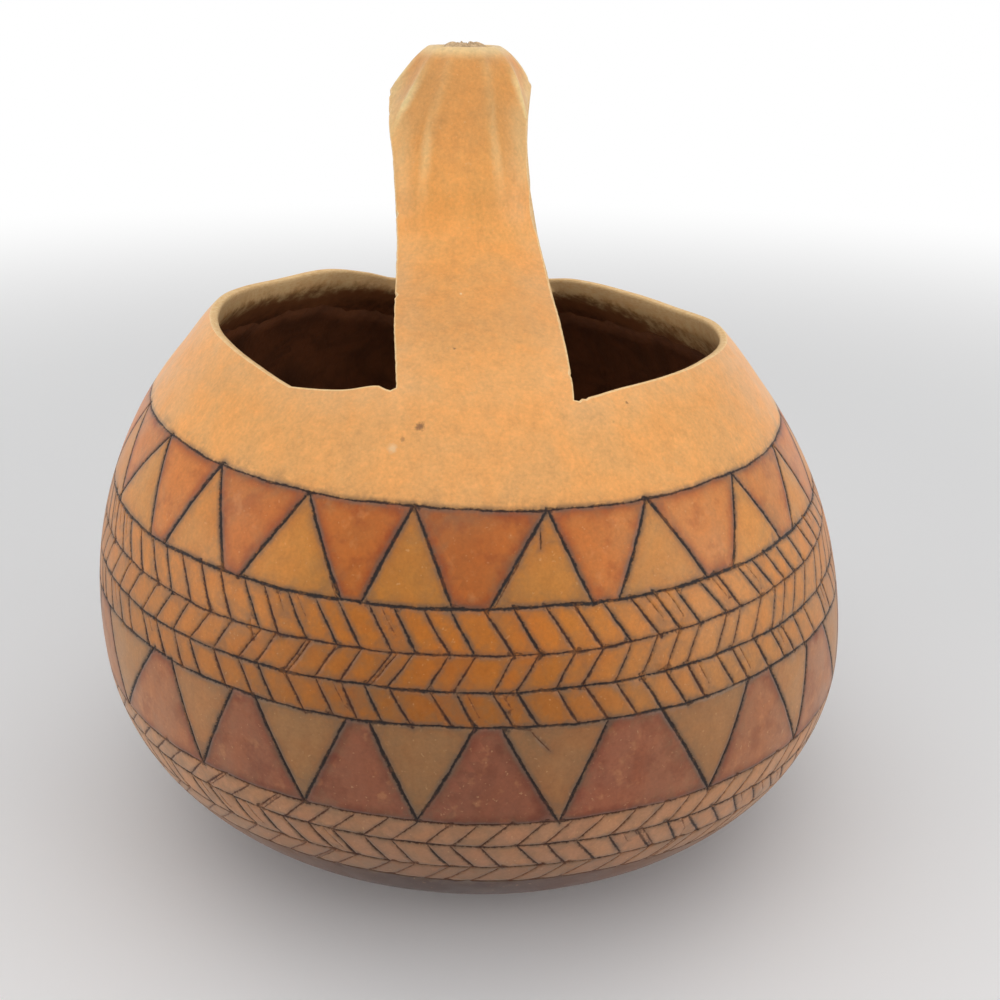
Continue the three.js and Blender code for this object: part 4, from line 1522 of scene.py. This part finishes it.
class Paint:
    """A material and the means to wire it."""

    def __init__(self, name, world=None):
        self.material = world or bpy.data.materials.new(name)
        self.material.use_nodes = True
        self.tree = self.material.node_tree
        self.tree.nodes.clear()

    def node(self, kind, settings=None, sockets=None, output=0):
        """A node with its settings, and the values or links of its sockets."""
        node = self.tree.nodes.new(kind)
        for key, value in (settings or {}).items():
            setattr(node, key, value)
        for key, value in (sockets or {}).items():
            if isinstance(value, Wire):
                self.tree.links.new(value.socket, node.inputs[key])
            else:
                node.inputs[key].default_value = value
        return Wire(self, node.outputs[output]) if len(node.outputs) else None

    def mix(self, factor, first, second, blend="MIX"):
        """Two colours mixed, each a link or a linear colour."""
        pair = [c if isinstance(c, Wire) else tuple(c[:3]) + (1.0,) for c in (first, second)]
        settings = {"data_type": "RGBA", "blend_type": blend, "clamp_factor": True}
        return self.node("ShaderNodeMix", settings, {0: factor, 6: pair[0], 7: pair[1]}, 2)

    def shade(self, colour, amount):
        """A colour made lighter or darker by a number."""
        return self.node(
            "ShaderNodeVectorMath", {"operation": "SCALE"}, {0: colour, "Scale": amount}
        )

    def fade(self, value, start, end, first=0.0, last=1.0):
        """A soft change from first to last while the value goes from start to end."""
        settings = {"interpolation_type": "SMOOTHSTEP", "clamp": True}
        sockets = {0: value, 1: start, 2: end, 3: first, 4: last}
        return self.node("ShaderNodeMapRange", settings, sockets)

    def object_place(self):
        return self.node("ShaderNodeTexCoord", output="Object")

    def noise(self, place, scale, detail, roughness, warp=0.0):
        sockets = {
            "Vector": place,
            "Scale": scale,
            "Detail": detail,
            "Roughness": roughness,
            "Distortion": warp,
        }
        return self.node("ShaderNodeTexNoise", {"noise_dimensions": "3D"}, sockets, "Fac")

    def moved(self, place, step, stretch=(1, 1, 1)):
        """The place moved and stretched, so that two noises don't follow each other."""
        sockets = {"Vector": place, "Location": step, "Scale": stretch}
        return self.node("ShaderNodeMapping", None, sockets)

    def height(self, place):
        return self.node("ShaderNodeSeparateXYZ", None, {0: place}, "Z")

    def known(self, name, output="Fac"):
        """What the mesh knows at each place under a name."""
        return self.node("ShaderNodeAttribute", {"attribute_name": name}, None, output)

    def bump(self, height, distance, strength):
        sockets = {"Height": height, "Distance": distance, "Strength": strength}
        return self.node("ShaderNodeBump", None, sockets)

    def surface(self, **sockets):
        named = {key.replace("_", " "): value for key, value in sockets.items()}
        shader = self.node("ShaderNodeBsdfPrincipled", None, named)
        self.node("ShaderNodeOutputMaterial", None, {"Surface": shader})
        return self.material


def half_as_light(colour):
    """The same colour, half as light."""
    return tuple(c * 0.5 for c in colour)


def rind_paint(look):
    """Waxed rind outside, stained and engraved, with sawn flesh at the edges and a scraped
    band that runs into the dark skin inside."""
    paint = Paint("waxed rind")
    place = paint.object_place()
    tall = paint.height(place)
    near = paint.known("near_line")
    dark = paint.known("dark_line")
    edge = paint.known("near_edge")
    ridge = paint.known("near_ridge")
    bare = paint.known("bare")
    inside = paint.known("inside")
    scraped = paint.known("scraped")
    stain = paint.known("stain", "Color")
    pool = paint.known("stain", "Alpha")
    broad = paint.noise(place, 22, 3, 0.55)
    cloud = paint.noise(place, 95, 4, 0.6, 0.4)
    mottle = paint.noise(paint.moved(place, (3, 1, 7)), 320, 4, 0.65)
    fine = paint.noise(place, 1300, 3, 0.6)
    streak = paint.noise(paint.moved(place, (5, 2, 0), (1, 1, 0.22)), 420, 3, 0.6)
    stripe = paint.noise(paint.moved(place, (2, 6, 0), (1, 1, 0.12)), 260, 3, 0.6)
    fleck = paint.noise(paint.moved(place, (9, 5, 2)), 1150, 2, 0.5)
    blotch = paint.noise(paint.moved(place, (1, 8, 4)), 150, 3, 0.6)
    rub = paint.noise(paint.moved(place, (4, 3, 9)), 240, 3, 0.6)
    grain = paint.noise(paint.moved(place, (0, 0, 0), (1, 1, 3)), 700, 4, 0.7)

    # the rind: clouds, a pale edge that is partly painted sheen, painted cream highlights on the
    # crown's ridges and crest, and light and dark all over
    clouded = paint.fade(cloud, 0.35, 0.7, 0.0, 0.45)
    colour = paint.mix(clouded, stain, CLOUDED, "MULTIPLY")
    # a pale band along the sawn edges: partly worn rind, partly painted sheen of the strap's edges
    pale = paint.fade(edge, 0.5, 10, 0.3, 0.0) * paint.fade(cloud, 0.3, 0.7, 1.0, 0.4)
    colour = paint.mix(pale, colour, PALE_RIND_AND_SHEEN)
    # painted highlight: cream in streaks along the crown's ridges and near its sawn edges, and a
    # thin cream line along the top of the crest
    crest = paint.fade(ridge + (mottle - 0.5) * 1.2, 0.0, 2.2, 1.0, 0.0)
    crest = crest * paint.fade(edge, 6, 13, 1.0, 0.12)
    crest = crest.at_least(paint.fade(edge, 0.5, 7, 0.6, 0.0))
    ridge_highlight = crest * paint.fade(tall, 0.165, 0.195) * paint.fade(stripe, 0.4, 0.6, 0.65, 1.0)
    ridge_highlight = ridge_highlight.at_least(paint.fade(tall, 0.2005, 0.2034, 0.0, 0.75))
    colour = paint.mix(ridge_highlight, colour, RIDGE_HIGHLIGHT)
    light = 1 + (broad - 0.5) * 0.3 + (cloud - 0.5) * 0.28 + (mottle - 0.5) * 0.34
    light = light + (streak - 0.5) * 0.26 + (fine - 0.5) * 0.4
    colour = paint.shade(colour, light)
    # painted light and shade on the neck and crown: lighter at about 168 mm up, where the hollow of
    # the neck turns away from the light, and darker from 140 to 150 mm and from 190 mm up
    waist = paint.fade(tall, 0.148, 0.168) * paint.fade(tall, 0.168, 0.19, 1.0, 0.0)
    colour = paint.shade(colour, 1 + paint.fade(tall, 0.14, 0.15) * (waist * 0.25 - 0.11))
    colour = paint.mix(paint.fade(fleck, 0.66, 0.76) * 0.22, colour, FLECK)

    # the pattern: uneven stain, rubbed places, dirt and smudges beside the lines, the lines
    blotched = paint.fade(blotch, 0.5, 0.66) * pool
    colour = paint.mix(blotched * 0.65, colour, BLOTCHED, "MULTIPLY")
    rubbed = paint.fade(rub, 0.57, 0.72) * pool
    colour = paint.mix(rubbed * 0.2, colour, RUBBED)
    grime = paint.fade(near + (cloud - 0.5) * 6, 0.2, 4.0, 1.0, 0.0)
    grime = grime * paint.fade(mottle, 0.4, 0.65)
    colour = paint.mix(grime * 0.4, colour, GRIME)
    pooled = pool * paint.fade(near + (mottle - 0.5) * 2.2, 0.0, 2.8, 1.0, 0.0)
    pooled = pooled * paint.fade(cloud, 0.35, 0.6, 0.35, 1.0)
    colour = paint.mix(pooled * 0.85, colour, POOLED, "MULTIPLY")
    smudge = paint.fade(near + (mottle - 0.5) * 1.0, 0.0, 1.1, 1.0, 0.0)
    smudge = smudge * paint.fade(mottle, 0.3, 0.6, 0.3, 1.0)
    colour = paint.mix(smudge * dark * 0.66, colour, SMUDGE)
    uneven = (fine - 0.5) * 0.8
    ink = paint.fade(near + uneven + (mottle - 0.5) * 0.35, -0.24, 0.12, 1.0, 0.0)
    burnt = paint.mix(dark, FAINT_LINE, look.ink)
    patchy = paint.fade(mottle + (fine - 0.5) * 0.5, 0.3, 0.5, 0.66, 1.0)
    colour = paint.mix(ink * patchy, colour, burnt)
    for spot, radius, strength in SPOTS:
        ends = {0: place, 1: tuple(v * MM for v in spot)}
        far = paint.node("ShaderNodeVectorMath", {"operation": "DISTANCE"}, ends, "Value")
        ragged = far / MM + (fine - 0.5) * radius * 1.6
        mark = paint.fade(ragged, 0.25 * radius, 1.3 * radius, abs(strength), 0.0)
        colour = paint.mix(mark, colour, DARK_SPOT if strength > 0 else PALE_SPOT)

    # the sawn edges
    worn = paint.fade(edge + (mottle - 0.5) * 0.7, 0.15, 0.55, 1.0, 0.0)
    flesh = paint.mix(paint.fade(grain, 0.35, 0.7), look.flesh, FLESH_GRAIN)
    flesh = paint.mix(paint.fade(cloud, 0.45, 0.75, 0.0, 0.3), flesh, FLESH_SHADE)
    colour = paint.mix(worn, colour, flesh)

    # inside: the scraped band, the dark skin below it, and what was left under the strap
    torn = scraped + (cloud - 0.5) * 0.9 + (mottle - 0.5) * 0.5
    wall = paint.mix(paint.fade(mottle, 0.35, 0.65), SCRAPED_PALE, SCRAPED_DEEP)
    stained = paint.fade(torn + (mottle - 0.5) * 0.8, 0.45, 1.0, 0.0, 0.7)
    wall = paint.mix(stained, wall, SCRAPED_STAIN)
    strap_skin = paint.fade(broad + (mottle - 0.5) * 0.4, 0.42, 0.62, 0.0, 0.6)
    strap_skin = strap_skin * paint.fade(scraped, -0.9, -0.3, 1.0, 0.0)
    hull = paint.mix(paint.fade(mottle, 0.3, 0.7), look.hull, half_as_light(look.hull))
    hull = paint.mix(paint.fade(torn, 0.9, 2.1), TORN_SKIN, hull)
    wall = paint.mix(paint.fade(torn, 0.8, 1.15).at_least(strap_skin), wall, hull)
    colour = paint.mix(inside, colour, wall)

    roughness = paint.fade(cloud, 0.3, 0.7, 0.4, 0.5)
    roughness = roughness + ink * 0.25 + worn * 0.3 + inside * 0.35
    lumps = mottle * 0.5 + fine * 0.25 + (worn.at_least(inside)) * grain * 1.2
    normal = paint.bump(lumps, 0.00012, 0.7)
    side_on = paint.node("ShaderNodeLayerWeight", None, {"Blend": 0.5}, "Facing")
    waxed = (1 - inside.at_least(bare)).at_least(0.0)
    return paint.surface(
        Base_Color=colour,
        Roughness=roughness.at_most(0.9),
        Normal=normal,
        IOR=1.35,
        Coat_Weight=paint.fade(side_on, 0.2, 0.75, 0.05, 0.2) * waxed,
        Coat_Roughness=0.3,
    )


def skin_paint(look):
    """Dull, fibrous dried skin."""
    paint = Paint("dried inner skin")
    place = paint.object_place()
    cloud = paint.noise(place, 60, 4, 0.6, 0.5)
    fibre = paint.noise(paint.moved(place, (0, 0, 0), (1, 1, 0.25)), 420, 5, 0.7, 1.2)
    colour = paint.mix(paint.fade(cloud, 0.3, 0.7), look.hull, half_as_light(look.hull))
    colour = paint.mix(paint.fade(fibre, 0.52, 0.72, 0.0, 0.3), colour, SKIN_FIBRE)
    return paint.surface(
        Base_Color=colour,
        Roughness=paint.fade(fibre, 0.3, 0.7, 0.72, 0.92),
        Normal=paint.bump(fibre + cloud * 2, 0.0006, 0.8),
        IOR=1.4,
    )


def stalk_paint(look, name, darker):
    """Dry woody stalk: fibres along it, and darker hollows."""
    paint = Paint(name)
    place = paint.object_place()
    fibre = paint.noise(paint.moved(place, (0, 0, 0), (1, 1, 0.3)), 900, 5, 0.7, 0.8)
    cloud = paint.noise(place, 260, 3, 0.6)
    raised, hollow = [tuple(c * tone * darker for c in look.stalk) for tone in (1, 0.65)]
    colour = paint.mix(paint.fade(fibre, 0.35, 0.68), raised, hollow)
    colour = paint.mix(paint.fade(cloud, 0.5, 0.75, 0.0, 0.6), colour, STALK_CLOUD)
    return paint.surface(
        Base_Color=colour,
        Roughness=paint.fade(fibre, 0.3, 0.7, 0.7, 0.9),
        Normal=paint.bump(fibre, 0.0004, 0.9),
        IOR=1.45,
    )


# ---- operators


class GOURD_OT_rind(bpy.types.Operator):
    """Make the rind: bowl, strap and crown in one piece, engraved and sawn open"""

    bl_idname = "gourd.rind"
    bl_label = "Rind"

    def execute(self, context):
        look = context.scene.gourd_look
        outer, inner = outer_side(), inner_side()
        hand = random.Random(look.seed + 1)
        mouths = [Mouth(left, outer, inner, look, hand) for left in (True, False)]
        pattern = Pattern(outer, look)
        sheet = Sheet()
        add_belly(sheet, outer, pattern)
        add_underside(sheet, outer, look)
        add_top(sheet, outer, mouths, look)
        for mouth in mouths:
            add_sawn_strip(sheet, mouth, look)
        add_inside(sheet, inner, mouths, look)
        shell = sheet.to_object("rind", rind_paint(look))
        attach(shell, "root")
        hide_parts("gourd_shell")
        return {"FINISHED"}


class GOURD_OT_skin(bpy.types.Operator):
    """Make the dark dried skin in the bowl, with its torn upper edge"""

    bl_idname = "gourd.skin"
    bl_label = "Inner skin"

    def execute(self, context):
        look = context.scene.gourd_look
        theta = SEAM + TURN * np.arange(JOIN_COLUMNS) / JOIN_COLUMNS
        torn = 0.9 * np.sin(11 * theta + 1) + 0.7 * np.sin(29 * theta)
        torn = torn + 0.5 * np.sin(67 * theta + 2) + 0.3 * np.sin(109 * theta)
        top = rim_height(theta) - SANDED_BAND - 2.0 + 0.7 * torn
        back, face = GAP + SKIN_MARGIN, GAP + SKIN_THICKNESS - SKIN_MARGIN
        layers = []
        for inset in (WALL + SKIN_SNUG, WALL + back, WALL + face):
            floor = FLOOR + inset - WALL
            belly = belly_curve(inset, WIDEST_HEIGHT - floor, floor)
            side = Side(np.concatenate([belly, shoulder_curve(inset)]), False)
            low, high = float(side.climb_of(floor + 0.35)), side.climb_of(top)
            shares = np.linspace(0, 1, SKIN_ROWS) ** SKIN_CROWDING
            layers.append([side.place(theta, low + (high - low) * share) for share in shares])
        outside, inside = [], []
        for number, (snug, far, near) in enumerate(zip(*layers)):
            share = float(smooth(number / (SKIN_ROWS - 1), SKIN_THIN_START, 1.0))
            thin = (1 - SKIN_TOP_THIN) * snug + SKIN_TOP_THIN * far
            inside.append(near * (1 - share) + thin * share)
            outside.append(far * (1 - share) + snug * share)
        sheet = Sheet()
        for rings, floor in ((outside, FLOOR + back), (inside, FLOOR + face)):
            sheet.add_rings(rings[::-1], look.hull, pole=(axis_at(floor), 0, floor))
        sheet.add_rings([outside[-1], inside[-1]], look.hull)
        skin = sheet.to_object("skin", skin_paint(look))
        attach(skin, "root")
        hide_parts("inner_skin")
        return {"FINISHED"}


def turned_piece(profile, count, shape, seat):
    """A closed woody piece: rings of a profile, each point moved by its own grain, with the
    first ring closed by a flat face."""
    theta = TURN * np.arange(count) / count
    rings = []
    for radius, z in profile:
        r, height = shape(radius, z, theta)
        rings.append(np.stack([r * np.cos(theta), r * np.sin(theta), height], 1))
    sheet = Sheet()
    sheet.add_rings(rings, UNSTAINED, pole=(0, 0, float(rings[-1][:, 2].mean())))
    foot = np.concatenate([rings[0], [[0, 0, float(rings[0][:, 2].mean())]]])
    faces = [((k + 1) % count, k, count) for k in range(count)]
    sheet.add(foot, faces, np.tile(np.append(UNSTAINED, 0.0), (count, 1)))
    sheet.places = [place + [axis_at(seat), 0, seat] for place in sheet.places]
    return sheet


class GOURD_OT_stem_end(bpy.types.Operator):
    """Make the woody stub of the stalk in the crown"""

    bl_idname = "gourd.stem_end"
    bl_label = "Stem end"

    def execute(self, context):
        look = context.scene.gourd_look
        seat = CREST_HEIGHT - STEM_SEAT_DEPTH + GAP
        radius, height = STEM_RADIUS, STEM_HEIGHT
        profile = [(radius * r, height * z) for r, z in STUB_PROFILE]

        def shape(r, z, theta):
            ribs = 1 - 0.12 * (1 - np.abs(np.cos(2.5 * theta))) * min(1, z / height + 0.6)
            grain = 1 - 0.02 * (1 + np.sin(23 * theta + 3 * z)) * min(1, r / radius)
            broken = 0.06 * height * (np.sin(7 * theta + 1) + np.sin(17 * theta + 2.2) - 2)
            return r * ribs * grain, z + broken * smooth(z, 0.5 * height, 0.9 * height)

        sheet = turned_piece(profile, 120, shape, seat)
        stub = sheet.to_object("stalk_stub", stalk_paint(look, "dry stalk", 1.0))
        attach(stub, "root")
        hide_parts("stem_end")
        return {"FINISHED"}


class GOURD_OT_blossom_scar(bpy.types.Operator):
    """Make the woody scar of the blossom in the dimple underneath"""

    bl_idname = "gourd.blossom_scar"
    bl_label = "Blossom scar"

    def execute(self, context):
        look = context.scene.gourd_look
        seat = DIMPLE_DEPTH - GAP - SCAR_THICKNESS
        thick = SCAR_THICKNESS
        profile = [(SCAR_RADIUS * r, thick * z) for r, z in SCAR_PROFILE]

        def shape(r, z, theta):
            ribs = 1 - 0.03 * (1 + np.sin(9 * theta)) * min(1, 1.5 * r / SCAR_RADIUS)
            return r * ribs, z + 0.05 * thick * (1 + np.sin(12 * theta + 1.5)) * (1 - z / thick)

        sheet = turned_piece(profile, 96, shape, seat)
        scar = sheet.to_object("blossom_button", stalk_paint(look, "dry blossom scar", 0.6))
        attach(scar, "root")
        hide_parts("blossom_scar")
        return {"FINISHED"}


def camera_ray(paint):
    """1 where the floor or the world is seen directly, in a mirror or through glass."""
    names = ("Is Camera Ray", "Is Glossy Ray", "Is Transmission Ray")
    direct, mirrored, refracted = [paint.node("ShaderNodeLightPath", output=name) for name in names]
    return (direct + mirrored + refracted).at_most(1.0)


class GOURD_OT_stage(bpy.types.Operator):
    """Make the pale floor, the soft studio light and the camera"""

    bl_idname = "gourd.stage"
    bl_label = "Stage"

    def execute(self, context):
        self.add_camera(context)
        self.add_floor(context)
        self.add_lights(context)
        context.scene.view_settings.view_transform = "Standard"
        return {"FINISHED"}

    def add_camera(self, context):
        """The viewpoint of the photograph."""
        lens = bpy.data.cameras.new("viewpoint")
        lens.sensor_fit = "HORIZONTAL"
        lens.sensor_width = SENSOR_WIDTH
        lens.lens = FOCAL_PIXELS / PICTURE_WIDTH * SENSOR_WIDTH
        lens.clip_start = 0.01
        lens.clip_end = 100
        camera = bpy.data.objects.new("viewpoint", lens)
        ahead = Vector((0, math.cos(CAMERA_PITCH), -math.sin(CAMERA_PITCH)))
        up = Vector((0, math.sin(CAMERA_PITCH), math.cos(CAMERA_PITCH)))
        right = Vector((1, 0, 0))
        turned_right = math.cos(CAMERA_ROLL) * right + math.sin(CAMERA_ROLL) * up
        turned_up = math.cos(CAMERA_ROLL) * up - math.sin(CAMERA_ROLL) * right
        turn = Matrix((turned_right, turned_up, -ahead)).transposed().to_4x4()
        camera.matrix_world = Matrix.Translation(Vector(CAMERA_PLACE) * MM) @ turn
        context.collection.objects.link(camera)
        context.scene.camera = camera

    def add_floor(self, context):
        """A pale floor that goes over into plain white far out."""
        count = FLOOR_COLUMNS
        work = bmesh.new()
        centre = work.verts.new((0, 0, 0))
        previous = None
        for reach in FLOOR_REACHES:
            angles = [TURN * k / count for k in range(count)]
            corners = [(reach * math.cos(angle), reach * math.sin(angle), 0) for angle in angles]
            row = [work.verts.new(corner) for corner in corners]
            for k in range(count):
                n = (k + 1) % count
                if previous is None:
                    work.faces.new((centre, row[k], row[n]))
                else:
                    work.faces.new((previous[k], row[k], row[n], previous[n]))
            previous = row
        mesh = bpy.data.meshes.new("floor")
        work.to_mesh(mesh)
        work.free()
        paint = Paint("pale floor")
        place = paint.object_place()
        away = paint.node("ShaderNodeVectorMath", {"operation": "LENGTH"}, {0: place}, "Value")
        matt = {"Base Color": PALE_FLOOR, "Roughness": 0.85}
        shaded = paint.node("ShaderNodeBsdfPrincipled", None, matt)
        white = paint.node("ShaderNodeEmission", None, {"Color": WHITE, "Strength": 1.0})
        far = paint.fade(away, *FLOOR_FADE) * camera_ray(paint)
        ground = paint.node("ShaderNodeMixShader", None, {0: far, 1: shaded, 2: white})
        paint.node("ShaderNodeOutputMaterial", None, {"Surface": ground})
        mesh.materials.append(paint.material)
        floor = bpy.data.objects.new("floor", mesh)
        context.collection.objects.link(floor)
        floor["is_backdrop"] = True

    def add_lights(self, context):
        """Soft lamps, and a faint light from all round."""
        for name, place, size, power in LAMPS:
            lamp = bpy.data.lights.new(name, "AREA")
            lamp.shape = "SQUARE"
            lamp.size = size
            lamp.energy = power
            thing = bpy.data.objects.new(name, lamp)
            thing.location = place
            way = Vector(LAMP_TARGET) - Vector(place)
            thing.rotation_euler = way.to_track_quat("-Z", "Y").to_euler()
            context.collection.objects.link(thing)
        world = context.scene.world or bpy.data.worlds.new("studio")
        context.scene.world = world
        paint = Paint("studio", world)
        light = {"Color": WHITE, "Strength": STUDIO_LIGHT}
        soft = paint.node("ShaderNodeBackground", None, light)
        white = paint.node("ShaderNodeBackground", None, {"Color": WHITE, "Strength": 1.0})
        sky = paint.node("ShaderNodeMixShader", None, {0: camera_ray(paint), 1: soft, 2: white})
        paint.node("ShaderNodeOutputWorld", None, {"Surface": sky})


class GOURD_PT_basket(bpy.types.Panel):
    """Sizes, colours and pieces of the gourd basket"""

    bl_idname = "GOURD_PT_basket"
    bl_label = "Gourd basket"
    bl_space_type = "VIEW_3D"
    bl_region_type = "UI"
    bl_category = "Gourd"

    def draw(self, context):
        look = context.scene.gourd_look
        for name in GourdLook.__annotations__:
            self.layout.prop(look, name)
        for operator in OPERATORS:
            self.layout.operator(operator.bl_idname)


OPERATORS = (GOURD_OT_stage, GOURD_OT_rind, GOURD_OT_skin, GOURD_OT_stem_end, GOURD_OT_blossom_scar)
CLASSES = (GourdLook, *OPERATORS, GOURD_PT_basket)


def register():
    for item in CLASSES:
        bpy.utils.register_class(item)
    bpy.types.Scene.gourd_look = PointerProperty(type=GourdLook)


def unregister():
    del bpy.types.Scene.gourd_look
    for item in reversed(CLASSES):
        bpy.utils.unregister_class(item)


def main():
    """Make everything."""
    register()
    bpy.ops.gourd.stage()
    bpy.ops.gourd.rind()
    bpy.ops.gourd.skin()
    bpy.ops.gourd.stem_end()
    bpy.ops.gourd.blossom_scar()
    boxes = {"cad": CAD_BOX, "visual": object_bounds()}
    plain = {name: [[float(v) for v in corner] for corner in box] for name, box in boxes.items()}


if __name__ == "__main__":
    main()
